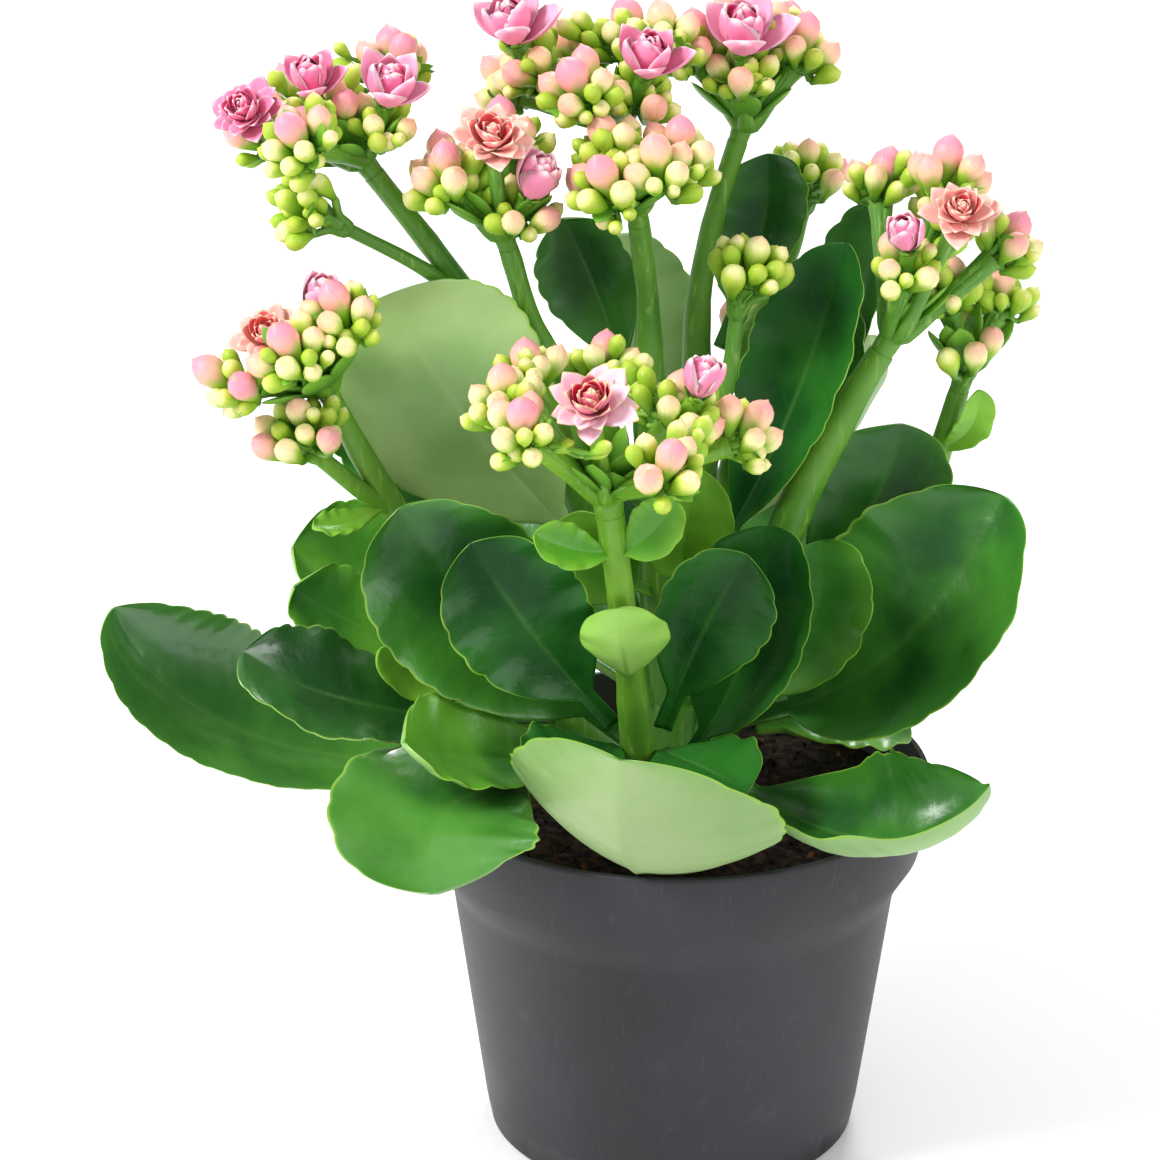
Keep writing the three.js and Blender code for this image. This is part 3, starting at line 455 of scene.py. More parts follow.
def leaf_veins(tree, along, outward, wander):
    """A mask of the midrib and of the fainter side veins that slant forward from it."""
    slant = calculate(tree, "MULTIPLY_ADD", outward, VEIN_SLANT, wander)
    near = calculate(tree, "PINGPONG", calculate(tree, "MULTIPLY_ADD", along, VEIN_PAIRS, slant), 0.5)
    side_veins = calculate(tree, "MULTIPLY", step_between(tree, near, 0.07, 0.0),
                           step_between(tree, outward, 0.9, 0.2))
    midrib = calculate(tree, "MULTIPLY", step_between(tree, outward, 0.07, 0.0),
                       step_between(tree, along, 1.0, 0.5))
    return calculate(tree, "MAXIMUM", calculate(tree, "MULTIPLY", side_veins, SIDE_VEIN_STRENGTH), midrib)


print("side veins on each half of a leaf:", VEIN_PAIRS)

# %% Leaf colours
MARGIN_BLUSH = rgb(120, 60, 40)


def upper_green(tree, given, patches, outward, veins):
    """Deep green with fresher patches, fresher still towards the margin, and veins that hardly show."""
    colour = mix_colours(tree, patches, given["Deep"], given["Fresh"])
    colour = mix_colours(tree, step_between(tree, outward, 0.3, 1.0, 0.0, 0.6), colour, given["Fresh"])
    return mix_colours(tree, calculate(tree, "MULTIPLY", veins, 0.24), colour, given["Vein"])


def under_green(tree, given, patches, outward, veins):
    """The pale underside with patches of fresher green, painted darker green towards the margin as painted
    shade.
    """
    # painted shade: the underside turns darker green towards the margin
    margin_shade = step_between(tree, outward, 0.1, 1.0, 0.0, 0.45)
    greener = calculate(tree, "MULTIPLY_ADD", patches, 0.16, margin_shade)
    colour = mix_colours(tree, greener, given["Under"], given["Fresh"])
    return mix_colours(tree, calculate(tree, "MULTIPLY", veins, 0.3), colour, given["Vein"])


def with_margin(tree, given, colour, outward, wander, place):
    """Adds the bright line along the margin and the red that touches its very edge here and there."""
    uneven = calculate(tree, "MULTIPLY_ADD", wander, 0.08, outward)
    colour = mix_colours(tree, step_between(tree, uneven, 0.955, 0.995, 0.0, 0.85), colour, given["Margin"])
    here_and_there = step_between(tree, noise(tree, place, 25.0), 0.5, 0.7, 0.0, 0.6)
    blush = calculate(tree, "MULTIPLY", step_between(tree, outward, 0.985, 1.0), here_and_there)
    return mix_colours(tree, blush, colour, MARGIN_BLUSH)


print("leaf colour steps ready")

# %% Leaf skin group
LEAF_INPUTS = [
    ("Deep", "NodeSocketColor", rgb(24, 78, 28)),
    ("Fresh", "NodeSocketColor", rgb(68, 136, 44)),
    ("Margin", "NodeSocketColor", rgb(136, 182, 62)),
    ("Under", "NodeSocketColor", rgb(172, 198, 140)),
    ("Vein", "NodeSocketColor", rgb(96, 150, 66)),
    ("Wax", "NodeSocketFloat", 0.24),
]
LEAF_OUTPUTS = [("Color", "NodeSocketColor"), ("Roughness", "NodeSocketFloat"), ("Normal", "NodeSocketVector")]


def leaf_skin_group():
    tree, given, result = new_tree("leaf_skin", "ShaderNodeTree", LEAF_INPUTS, LEAF_OUTPUTS)
    along, across, _ = split(tree, uv_map(tree))
    outward = from_middle(tree, across)
    place = object_place(tree)
    under = stored(tree, "under")
    wander = calculate(tree, "MULTIPLY_ADD", noise(tree, place, 70.0), 0.5, -0.25)
    veins = leaf_veins(tree, along, outward, wander)
    patches = step_between(tree, noise(tree, place, 30.0), 0.38, 0.66)
    colour = mix_colours(tree, under, upper_green(tree, given, patches, outward, veins),
                         under_green(tree, given, patches, outward, veins))
    colour = with_margin(tree, given, colour, outward, wander, place)
    dull = calculate(tree, "MULTIPLY_ADD", noise(tree, place, 120.0), 0.12, given["Wax"])
    roughness = calculate(tree, "MULTIPLY_ADD", under, 0.22, dull)
    relief = calculate(tree, "MULTIPLY_ADD", veins, -0.6, noise(tree, place, 450.0, 4.0))
    relief = calculate(tree, "MULTIPLY_ADD", noise(tree, place, 110.0, 1.5), 5.0, relief)
    feed(tree, result, Color=colour, Roughness=roughness, Normal=relief_normal(tree, relief, 0.45))
    return tree


leaf_skin = leaf_skin_group()
print("leaf skin nodes:", len(leaf_skin.nodes))

# %% Leaf finishes
DULL = {"Specular_IOR_Level": 0.15, "Coat_Weight": 0.04}
SATIN = {"Specular_IOR_Level": 0.34, "Coat_Weight": 0.12}
POLISHED = {"Specular_IOR_Level": 0.5, "Coat_Weight": 0.8}


def leaf_finish(name, gloss=SATIN, **greens):
    material, tree, shader = new_material(name, Coat_Roughness=0.13, **gloss)
    skin = place_group(tree, leaf_skin, **greens)
    feed(tree, shader.inputs, Base_Color=skin["Color"], Roughness=skin["Roughness"], Normal=skin["Normal"])
    return material


LEAF_FINISHES = {
    "plain": leaf_finish("leaf_plain"),
    "dark": leaf_finish("leaf_dark", DULL, Deep=rgb(16, 66, 24), Fresh=rgb(42, 106, 34), Wax=0.2),
    "glossy": leaf_finish("leaf_glossy", POLISHED, Deep=rgb(38, 98, 36), Fresh=rgb(78, 142, 50), Wax=0.24),
    "wet_dark": leaf_finish("leaf_wet_dark", POLISHED, Deep=rgb(20, 66, 28), Fresh=rgb(46, 104, 40), Wax=0.22),
    "light": leaf_finish("leaf_light", Deep=rgb(48, 112, 34), Fresh=rgb(96, 160, 46), Wax=0.26),
    "waxy": leaf_finish("leaf_waxy", Deep=rgb(130, 168, 94), Fresh=rgb(162, 192, 122), Vein=rgb(172, 200, 136),
                        Wax=0.3),
    "young": leaf_finish("leaf_young", Deep=rgb(74, 146, 30), Fresh=rgb(128, 186, 52), Under=rgb(150, 196, 92),
                         Wax=0.34),
    "pale": leaf_finish("leaf_pale", Fresh=rgb(92, 142, 56), Under=rgb(150, 174, 118)),
}
print("leaf finishes:", sorted(LEAF_FINISHES))

# %% [markdown]
# ## The pot
#
# A 12 cm nursery pot is moulded from thin dark grey plastic. Its wall tapers, a stiffer band runs round its
# rim, and its floor has drain holes. The outline is turned round the middle axis, the holes are cut with plain
# cylinders, and a small bevel rounds every edge, which is what catches the light along the lip.

# %% Pot finish
pot_plastic, tree, shader = new_material("pot_plastic", Specular_IOR_Level=0.32)
place = object_place(tree)
haze = noise(tree, place, 22.0, 4.0)
colour = mix_colours(tree, step_between(tree, haze, 0.35, 0.7), rgb(38, 37, 42), rgb(48, 47, 53))
scratches = noise(tree, stretched(tree, place, (1.0, 1.0, 0.06)), 900.0, 2.0)
scuffs = calculate(tree, "MULTIPLY", step_between(tree, scratches, 0.62, 0.75), 0.07)
colour = mix_colours(tree, scuffs, colour, rgb(110, 110, 116))
dust = calculate(tree, "MULTIPLY", step_between(tree, noise(tree, place, 160.0, 5.0), 0.58, 0.8), 0.08)
colour = mix_colours(tree, dust, colour, rgb(112, 104, 94))
roughness = calculate(tree, "MULTIPLY_ADD", haze, 0.25, 0.36)
grain = relief_normal(tree, noise(tree, place, 1400.0, 2.0), 0.25, 0.0002)
feed(tree, shader.inputs, Base_Color=colour, Roughness=roughness, Normal=grain)
print("pot finish nodes:", len(tree.nodes))

# %% Pot outline
POT_HEIGHT = 90
RIM_RADIUS = 60
FOOT_RADIUS = 44
POT_WALL = 1.5
POT_FLOOR = 2
LIP_ROUND = 0.3
BAND_FOOT = 73
BAND_RADIUS = 57.8
NECK = [(52, BAND_FOOT - 11), (53.5, BAND_FOOT - 7)]
POT_OUTSIDE = [
    (FOOT_RADIUS - 3, 0), (FOOT_RADIUS - 0.7, 1.2), (FOOT_RADIUS + 0.6, 8), *NECK,
    (BAND_RADIUS, BAND_FOOT), (RIM_RADIUS, POT_HEIGHT - 1),
]
POT_INSIDE = [(radius - POT_WALL, height) for radius, height in POT_OUTSIDE[1:]]
POT_OUTLINE = [
    (0, 0), *POT_OUTSIDE, (RIM_RADIUS - LIP_ROUND, POT_HEIGHT), (RIM_RADIUS - POT_WALL, POT_HEIGHT),
    *reversed(POT_INSIDE[1:-1]), (POT_INSIDE[0][0], POT_FLOOR), (0, POT_FLOOR),
]
print("pot outline:", len(POT_OUTLINE), "points")

# %% Pot shape
POT_SIDES = 144
DRAIN_HOLES = 6
DRAIN_RADIUS = 4
DRAIN_CIRCLE = 33
DRILL_SIDES = 24
DRILL_FROM, DRILL_TO = -5, 8
EDGE_ROUND = 0.45
EDGE_STEPS = 2
EDGE_FROM_DEGREES = 28


def turned(outline, sides, name):
    """Turns an outline that starts and ends on the axis into a closed shape."""
    angles = 2 * np.pi * np.arange(sides) / sides
    rings = outline[1:-1]
    points = [at(0, 0, outline[0][1]), at(0, 0, outline[-1][1])]
    for radius, height in rings:
        points.extend(at(radius * math.cos(a), radius * math.sin(a), height) for a in angles)
    return new_mesh_object(name, points, skin_over(len(rings), sides, 0, 1, start=2))


pot = turned(POT_OUTLINE, POT_SIDES, "nursery_pot")
drills = []
for k in range(DRAIN_HOLES):
    angle = 2 * math.pi * (k + 0.5) / DRAIN_HOLES
    drill_outline = [(0, DRILL_FROM), (DRAIN_RADIUS, DRILL_FROM), (DRAIN_RADIUS, DRILL_TO), (0, DRILL_TO)]
    drill = turned(drill_outline, DRILL_SIDES, f"drill_{k}")
    drill.data.transform(Matrix.Translation(Vector((math.cos(angle), math.sin(angle), 0)) * DRAIN_CIRCLE * MM))
    cut = pot.modifiers.new("drain", "BOOLEAN")
    cut.object = drill
    cut.solver = "EXACT"
    drills.append(drill)
bevel = pot.modifiers.new("soft_edges", "BEVEL")
bevel.width = EDGE_ROUND * MM
bevel.segments = EDGE_STEPS
bevel.angle_limit = math.radians(EDGE_FROM_DEGREES)
apply_modifiers(pot)
for drill in drills:
    bpy.data.objects.remove(drill)
pot.data.shade_smooth()
finish_piece(pot, "pot", "pot", material=pot_plastic)
print("pot:", len(pot.data.polygons), "faces")

# %% [markdown]
# ## The soil
#
# Peat compost fills the pot almost to its lip. It is nearly black, lumpy, and full of fine fibre and bark.
# The filling is one closed body with an uneven top. Crumbs and bark bits are scattered over the top by
# a geometry tree, because bits of one lumpy shape, turned, sized and flattened by random draws, already look
# like real crumbs.

# %% Soil finish
def soil_finish(name, dark, light, grain):
    material, tree, shader = new_material(name, Roughness=0.95, Specular_IOR_Level=0.15)
    lumps = noise(tree, object_place(tree), grain, 6.0)
    colour = mix_colours(tree, step_between(tree, lumps, 0.4, 0.68), dark, light)
    feed(tree, shader.inputs, Base_Color=colour, Normal=relief_normal(tree, lumps, 0.9, 0.0012))
    return material


peat = soil_finish("peat", rgb(20, 16, 13), rgb(58, 44, 32), 420.0)
bark = soil_finish("bark", rgb(66, 44, 26), rgb(132, 92, 50), 700.0)
print("soil finishes:", peat.name, bark.name)

# %% Soil body
SOIL_TOP = 80
SOIL_BOTTOM = 3
SOIL_CLEAR = 0.7
SOIL_UNEVENNESS = 0.72
SOIL_SIDES = 96
TOP_RINGS = np.linspace(0.97, 0.04, 26)


def inside_at(height):
    """The pot's inner radius at a height."""
    radii, heights = zip(*POT_INSIDE)
    return float(np.interp(height, heights, radii))


def soil_height(x, y):
    waves = math.sin(x * 0.31 + 1.3) * math.cos(y * 0.27) + 0.6 * math.sin(x * 0.83 - y * 0.71)
    return SOIL_TOP + SOIL_UNEVENNESS * waves


bends = [height for _, height in POT_INSIDE if SOIL_BOTTOM < height < SOIL_TOP]
soil_angles = 2 * np.pi * np.arange(SOIL_SIDES) / SOIL_SIDES
points = [at(0, 0, SOIL_BOTTOM), at(0, 0, soil_height(0, 0))]
for height in (SOIL_BOTTOM, *bends, SOIL_TOP):
    radius = inside_at(height) - SOIL_CLEAR
    points += [at(radius * math.cos(a), radius * math.sin(a), height) for a in soil_angles]
for share in TOP_RINGS:
    ring = [(radius * share * math.cos(a), radius * share * math.sin(a)) for a in soil_angles]
    points += [at(x, y, soil_height(x, y)) for x, y in ring]
soil_rings = len(bends) + 2 + len(TOP_RINGS)
soil = new_mesh_object("compost", points, skin_over(soil_rings, SOIL_SIDES, 0, 1, start=2))
print("soil:", soil_rings, "rings of", SOIL_SIDES, "points")


# %% Steps that the geometry trees share
def random_vector(tree, low, high, seed):
    sockets = {0: low, 1: high, "Seed": seed}
    return step(tree, "FunctionNodeRandomValue", sockets, data_type="FLOAT_VECTOR")


def random_number(tree, low, high, seed):
    sockets = {"Min": low, "Max": high, "Seed": seed}
    return add_node(tree, "FunctionNodeRandomValue", sockets, data_type="FLOAT").outputs[1]


def finished(tree, geometry, finish):
    """Makes instances real and gives every face its finish, as each tree here ends."""
    solid = step(tree, "GeometryNodeRealizeInstances", {"Geometry": geometry})
    return step(tree, "GeometryNodeSetMaterial", {"Geometry": solid, "Material": finish})


print("geometry steps ready")

# %% Crumb tree
CRUMB_INPUTS = [
    ("Soil", "NodeSocketGeometry", None),
    ("Density", "NodeSocketFloat", 12000.0),
    ("Smallest", "NodeSocketFloat", 0.0006),
    ("Largest", "NodeSocketFloat", 0.0022),
    ("Lowest", "NodeSocketFloat", 0.078),
    ("Lumpiness", "NodeSocketFloat", 0.14),
    ("Seed", "NodeSocketInt", 4),
    ("Finish", "NodeSocketMaterial", None),
]
FULL_TURN = 6.28
THINNEST, FATTEST = (0.5, 0.4, 0.4), (1.6, 1.0, 0.8)


def crumb_tree():
    outputs = [("Crumbs", "NodeSocketGeometry")]
    tree, given, result = new_tree("crumbs", "GeometryNodeTree", CRUMB_INPUTS, outputs)
    height = split(tree, step(tree, "GeometryNodeInputPosition"))["Z"]
    on_top = step(tree, "FunctionNodeCompare", {0: height, 1: given["Lowest"]}, operation="GREATER_THAN")
    points = step(tree, "GeometryNodeDistributePointsOnFaces", {
        "Mesh": given["Soil"], "Selection": on_top, "Density": given["Density"], "Seed": given["Seed"]})
    ball = step(tree, "GeometryNodeMeshIcoSphere", {"Radius": 0.5, "Subdivisions": 1})
    inward = calculate(tree, "MULTIPLY", given["Lumpiness"], -1.0)
    shake = random_vector(tree, inward, given["Lumpiness"], 7)
    lump = step(tree, "GeometryNodeSetPosition", {"Geometry": ball, "Offset": shake})
    turn = random_vector(tree, (0.0,) * 3, (FULL_TURN,) * 3, given["Seed"])
    size = random_number(tree, given["Smallest"], given["Largest"], 3)
    flat = random_vector(tree, THINNEST, FATTEST, 5)
    scale = step(tree, "ShaderNodeVectorMath", {0: flat, "Scale": size}, operation="SCALE")
    placed = step(tree, "GeometryNodeInstanceOnPoints", {
        "Points": points, "Instance": lump, "Rotation": turn, "Scale": scale})
    tree.links.new(finished(tree, placed, given["Finish"]), result[0])
    return tree


crumbs = crumb_tree()
print("crumb tree nodes:", len(crumbs.nodes))

# %% Crumbs and bark bits
CRUMBS = {
    "peat_crumbs": {"density": 90000.0, "finish": peat},
    "bark_bits": {"density": 5000.0, "smallest": 0.0012, "largest": 0.0034, "seed": 11, "finish": bark},
}
scattered = []
for name, values in CRUMBS.items():
    bits = soil.copy()
    bits.data = soil.data.copy()
    bits.name = name
    scene.collection.objects.link(bits)
    scattered.append(grow_with(bits, crumbs, **values))
finish_piece(soil, "soil", "soil", material=peat)
for bits in scattered:
    finish_piece(bits, "soil", "soil")
    print(bits.name, len(bits.data.polygons), "faces")

# %% [markdown]
# ## The stems
#
# A short woody trunk comes up through the compost and parts into the flower stems. They are juicy and round,
# slightly thicker where a leaf once sat, and slimmer towards the heads. Low down and at the back, where less
# light reaches them, their green is painted darker as painted shade. Every path is a measured chain of points.
# A geometry tree turns each chain into a round tube as thick at each point as the chain says. The heads make
# their fine stalks by the same steps later.

# %% Steps that make tubes
def plan_value(tree, name, kind="FLOAT"):
    return step(tree, "GeometryNodeInputNamedAttribute", {"Name": name}, data_type=kind)


def tubes_along(tree, given, swell=1.0):
    """Round tubes along the plan's chains, as thick as the plan says, times swell."""
    lines = step(tree, "GeometryNodeMeshToCurve", {"Mesh": given["Plan"]})
    lines = step(tree, "GeometryNodeCurveSplineType", {"Curve": lines}, spline_type="CATMULL_ROM")
    lines = step(tree, "GeometryNodeResampleCurve", {"Curve": lines, "Count": given["Steps"]})
    scale = calculate(tree, "MULTIPLY", plan_value(tree, "thick"), swell)
    ring = step(tree, "GeometryNodeCurvePrimitiveCircle", {"Resolution": given["Sides"], "Radius": 1.0})
    return step(tree, "GeometryNodeCurveToMesh", {
        "Curve": lines, "Profile Curve": ring, "Scale": scale, "Fill Caps": True})


print("tube steps ready")

# %% Stem tree
STALK_INPUTS = [
    ("Plan", "NodeSocketGeometry", None),
    ("Sides", "NodeSocketInt", 20),
    ("Steps", "NodeSocketInt", 48),
    ("Knuckle Spacing", "NodeSocketFloat", 0.021),
    ("Knuckle Height", "NodeSocketFloat", 0.06),
    ("Knuckle Sharpness", "NodeSocketFloat", 12.0),
    ("Finish", "NodeSocketMaterial", None),
]


def stalk_tree():
    outputs = [("Stalks", "NodeSocketGeometry")]
    tree, given, result = new_tree("stalks", "GeometryNodeTree", STALK_INPUTS, outputs)
    length = add_node(tree, "GeometryNodeSplineParameter").outputs["Length"]
    share = calculate(tree, "FRACT", calculate(tree, "DIVIDE", length, given["Knuckle Spacing"]))
    wave = calculate(tree, "SINE", calculate(tree, "MULTIPLY", share, math.pi))
    knuckle = calculate(tree, "POWER", wave, given["Knuckle Sharpness"])
    swell = calculate(tree, "MULTIPLY_ADD", knuckle, given["Knuckle Height"], 1.0)
    tubes = step(tree, "GeometryNodeSetShadeSmooth", {"Geometry": tubes_along(tree, given, swell)})
    tree.links.new(finished(tree, tubes, given["Finish"]), result[0])
    return tree


stalks = stalk_tree()
print("stem tree nodes:", len(stalks.nodes))

# %% Stem finish
stem_green, tree, shader = new_material("stem_green", Specular_IOR_Level=0.45)
place = object_place(tree)
_, from_front, height = split(tree, place)
mottle = noise(tree, place, 60.0, 4.0)
colour = mix_colours(tree, step_between(tree, mottle, 0.3, 0.7), rgb(98, 152, 34), rgb(130, 178, 48))
# painted shade: the green turns darker towards the back of the plant
colour = mix_colours(tree, step_between(tree, from_front, -0.035, 0.0, 0.0, 0.6), colour, rgb(62, 124, 40))
# painted shade: the green turns darker low down, under the leaves
colour = mix_colours(tree, step_between(tree, height, 0.16, 0.1, 0.0, 0.7), colour, rgb(70, 130, 38))
streak_place = stretched(tree, place, (1.0, 1.0, 0.08))
streaks = step_between(tree, noise(tree, streak_place, 700.0, 2.0), 0.55, 0.75, 0.0, 0.35)
colour = mix_colours(tree, streaks, colour, rgb(180, 214, 104))
roughness = calculate(tree, "MULTIPLY_ADD", mottle, 0.2, 0.32)
ridges = relief_normal(tree, noise(tree, streak_place, 500.0), 0.3)
feed(tree, shader.inputs, Base_Color=colour, Roughness=roughness, Normal=ridges)
print("stem finish nodes:", len(tree.nodes))

# %% Stem paths
STEMS = {
    "trunk": ([(0, 5, 58), (0, 5, 84), (1, 6, 104)], [7, 7, 5.5]),
    "front": ([(0, 2, 87), (-3, -12, 93), (-8, -25, 103), (-11, -34, 130), (-14, -40, 158), (-15.5, -42, 170)],
              [4.6, 4.4, 4.2, 3.1, 3, 3.2]),
    "left": ([(-1, 4, 84), (-18, 2, 97), (-38, -2, 120), (-58, -6, 148), (-70, -10, 170), (-77, -12, 185)],
             [5, 4.6, 4, 3.2, 2.8, 2.6]),
    "left_low": ([(-64, -8, 158), (-71, -12, 164), (-79.5, -16, 173)], [2.2, 2, 2]),
    "tall_left": ([(-1, 8, 94), (-14, 16, 130), (-34, 15, 180), (-52, 9, 210), (-68, 8, 232)],
                  [4.6, 4, 3.6, 3.2, 3]),
    "tall_left_low": ([(-48, 10, 203), (-60, 4, 213), (-73, 1, 221)], [2.2, 2, 1.8]),
    "middle": ([(0, 8, 98), (-4, 13, 140), (-6, 12, 180), (-7, 5, 206), (-9, 0, 223)], [5, 4.6, 4, 3.2, 3]),
    "top": ([(-7, 8, 198), (-8, 15, 217), (-13, 19, 236)], [2.8, 2.6, 2.4]),
    "middle_left": ([(-5, 15, 150), (-20, 11, 175), (-32, 3, 197), (-38, 1, 217)], [3.6, 3.2, 3, 2.8]),
    "tall_right": ([(2, 9, 100), (6, 18, 150), (5, 22, 195), (9, 28, 217), (14, 31, 233)],
                   [4.6, 4.2, 3.6, 3, 2.8]),
    "small_back": ([(6, 19, 165), (17, 31, 186), (27, 43, 201), (30, 46, 211)], [2.8, 2.4, 2, 2]),
    "small_middle": ([(5, 16, 148), (9, 5, 174), (12, 0, 190), (13, -1, 201)], [2.8, 2.4, 2.2, 2]),
    "right": ([(2, 6, 86), (12, 4, 108), (20, 1, 134), (28, -1, 158), (40, 1, 182), (46, 2, 192)],
              [5, 4.8, 4.4, 4.2, 3.8, 3.4]),
    "right_low": ([(1, 8, 88), (22, 16, 104), (46, 22, 126), (58, 20, 150), (63, 16, 170), (65, 14, 179)],
                  [4.4, 4, 3.4, 3, 2.6, 2.4]),
    "back": ([(0, 9, 90), (4, 26, 110), (12, 44, 140), (20, 54, 168)], [4.4, 3.8, 3, 2.4]),
}
print("stem paths:", len(STEMS))

# %% Stems
PATH_STEPS = 16
SLIM_FROM, SLIM_TO = 165, 205
SLIM_SHARE = 0.8


def slim_at(height):
    """The flower stems get slimmer as they near the heads."""
    return mix(1, SLIM_SHARE, smooth(SLIM_FROM, SLIM_TO, height))


def line_plan(name, lines):
    """A mesh of chained edges, with the thickness at each point, for the stalk tree to turn into tubes."""
    points, edges, thick = [], [], []
    for line, radii in lines:
        edges += [(len(points) + k, len(points) + k + 1) for k in range(len(line) - 1)]
        points += list(line)
        thick += [radius * MM for radius in radii]
    return new_mesh_object(name, points, edges=edges, values={"thick": thick})


lines = []
for path, radii in STEMS.values():
    shares = np.linspace(0, 1, PATH_STEPS + 1)
    line = [path_point(path, t) for t in shares]
    thick = np.interp(shares, np.linspace(0, 1, len(radii)), radii)
    lines.append((line, [radius * slim_at(point[2]) for point, radius in zip(line, thick)]))
stems = grow_with(line_plan("flower_stems", lines), stalks, finish=stem_green)
finish_piece(stems, "stem", "stems")
print("stems:", len(STEMS), "paths,", len(stems.data.polygons), "faces")

# %% [markdown]
# ## The leaves
#
# A leaf grows along a rib that bends through three points, from its seat on a stem to its tip. Across the rib
# the blade folds up a little and cups more towards the margin. The blade is as thick as a coin, with a round
# margin cut into shallow round teeth, a groove over the midrib and a keel below it. A flat sheet with
# a thickness added would lack the groove and the keel, so each ring across the leaf is worked out by formula.
# One function builds every leaf from its own short line of sizes, because leaves differ in size and bend but
# not in kind.

# %% Leaf measures
FOOT_TAPER = 0.75
TIP_ROUND = 0.5
FULLEST = FOOT_TAPER / (FOOT_TAPER + TIP_ROUND)
FULLEST_VALUE = FULLEST ** FOOT_TAPER * (1 - FULLEST) ** TIP_ROUND
TOOTH_ROUND = 0.7
TOOTH_MIDDLE = 0.55
FEWEST_TEETH = 3
TEETH_START = (0.22, 0.4)
TEETH_END = (0.965, 1)
TIP_THINNER = 0.62
GROOVE_DEPTH, GROOVE_WIDTH = 0.35, 0.9
KEEL_DEPTH, KEEL_WIDTH = 0.75, 1.1
RING_CROWDING = 1.7
COLUMN_CROWDING = 1.6
LEAF = {
    "half_stalk": 2.4, "stalk_thick": 3.0, "blade_thick": 1.9, "tooth": 0.9, "tooth_length": 6.5, "wave": 0.5,
    "stalk_rings": 8, "rings": 64, "columns": 22,
}
SMALL_LEAF = {
    **LEAF, "half_stalk": 1.6, "stalk_thick": 2.0, "blade_thick": 1.3, "tooth": 0.35, "wave": 0.3,
    "rings": 36, "columns": 14,
}
print("a leaf of rings x points:", LEAF["rings"] + LEAF["stalk_rings"], "x", 4 * LEAF["columns"])


# %% Leaf outline
def rib_point(rib, u):
    """The point and the direction at share u of the rib, a plain curve through its three points."""
    base, middle, tip = (at(*point) for point in rib)
    pull = 2 * middle - 0.5 * base - 0.5 * tip
    point = base * (1 - u) ** 2 + pull * 2 * u * (1 - u) + tip * u * u
    return point, unit((pull - base) * (1 - u) + (tip - pull) * u)


def leaf_stations(make, stalk):
    """Each ring's share of the rib, and its share of the blade, which stays 0 along the stalk."""
    on_stalk = [(stalk * i / make["stalk_rings"], 0.0) for i in range(make["stalk_rings"])]
    on_blade = [1 - (1 - (i / make["rings"])) ** RING_CROWDING for i in range(make["rings"])]
    return on_stalk + [(stalk + (1 - stalk) * x, x) for x in on_blade]


def half_width(x, width, teeth, make):
    """Half the leaf's width at share x of the blade, teeth included."""
    full = x ** FOOT_TAPER * (1 - x) ** TIP_ROUND / FULLEST_VALUE
    notch = abs(math.sin(math.pi * teeth * x)) ** TOOTH_ROUND - TOOTH_MIDDLE
    tooth = make["tooth"] * notch * smooth(*TEETH_START, x) * (1 - smooth(*TEETH_END, x))
    return math.hypot(make["half_stalk"] * (1 - x), width / 2 * full) + tooth


print("a 40 mm leaf is", round(2 * half_width(FULLEST, 40, 8, LEAF), 1), "mm across at its fullest")


# %% Leaf blade
def across_the_leaf(x, v, half, waves, make, fold, cup):
    """How far out the points of a ring lie, and how high its upper and its under side lie there."""
    away = np.abs(v)
    rise = fold + cup * away
    thick = mix(make["stalk_thick"], make["blade_thick"], smooth(0, 0.3, x)) * mix(1, TIP_THINNER, x)
    wave = sum(size * np.sin(2 * np.pi * turns * x + shift + 1.5 * np.sign(v)) for turns, shift, size in waves)
    lift = half * away * np.sin(rise) + make["wave"] * wave * away ** 2.5 * smooth(0.05, 0.5, x)
    on_blade = smooth(0.0, 0.15, x)
    groove = GROOVE_DEPTH * np.exp(-((v * half / GROOVE_WIDTH) ** 2)) * on_blade * (1 - x)
    keel = KEEL_DEPTH * np.exp(-((v * half / KEEL_WIDTH) ** 2)) * on_blade * (1 - x) ** 0.6
    skin = thick / 2 * np.sqrt(np.clip(1 - away ** 5, 0, 1))
    return half * v * np.cos(rise), lift + skin - groove, lift - skin - keel


def blade(rib, faces, width, cup, make, fold=0.1, stalk=0.16, seed=1):
    """Points, faces and finish values of one closed leaf."""
    faces = unit(at(*faces))
    draw = seeded_draws(seed * 7919 + 13)
    waves = [(2 + 3 * draw(), FULL_TURN * draw(), 0.5 + 0.5 * draw()) for _ in range(3)]
    length = sum(np.linalg.norm(at(*b) - at(*a)) for a, b in zip(rib, rib[1:])) * (1 - stalk)
    teeth = max(FEWEST_TEETH, round(length / make["tooth_length"]))
    even = np.linspace(-1, 1, 2 * make["columns"] + 1)
    v = np.sign(even) * (1 - (1 - np.abs(even)) ** COLUMN_CROWDING)
    stations = leaf_stations(make, stalk)
    points, uvs, under = [], [], []
    for u, x in stations:
        point, along = rib_point(rib, u)
        up = unit(faces - faces @ along * along)
        out, over, below = across_the_leaf(x, v, half_width(x, width, teeth, make), waves, make, fold, cup)
        flat = point + np.outer(out, np.cross(up, along))
        points += [*(flat + np.outer(over, up)), *(flat + np.outer(below, up))[-2:0:-1]]
        uvs += [(u, 0.5 + 0.5 * value) for value in (*v, *v[-2:0:-1])]
        under += [0.0] * len(v) + [1.0] * (len(v) - 2)
    seat, tip = len(points), len(points) + 1
    points += [rib_point(rib, 0)[0], rib_point(rib, 1)[0]]
    uvs += [(0.0, 0.5), (1.0, 0.5)]
    under += [0.0, 0.0]
    return points, turned_over(skin_over(len(stations), 2 * len(v) - 2, seat, tip)), uvs, under


print("rings along a leaf:", len(leaf_stations(LEAF, 0.16)))

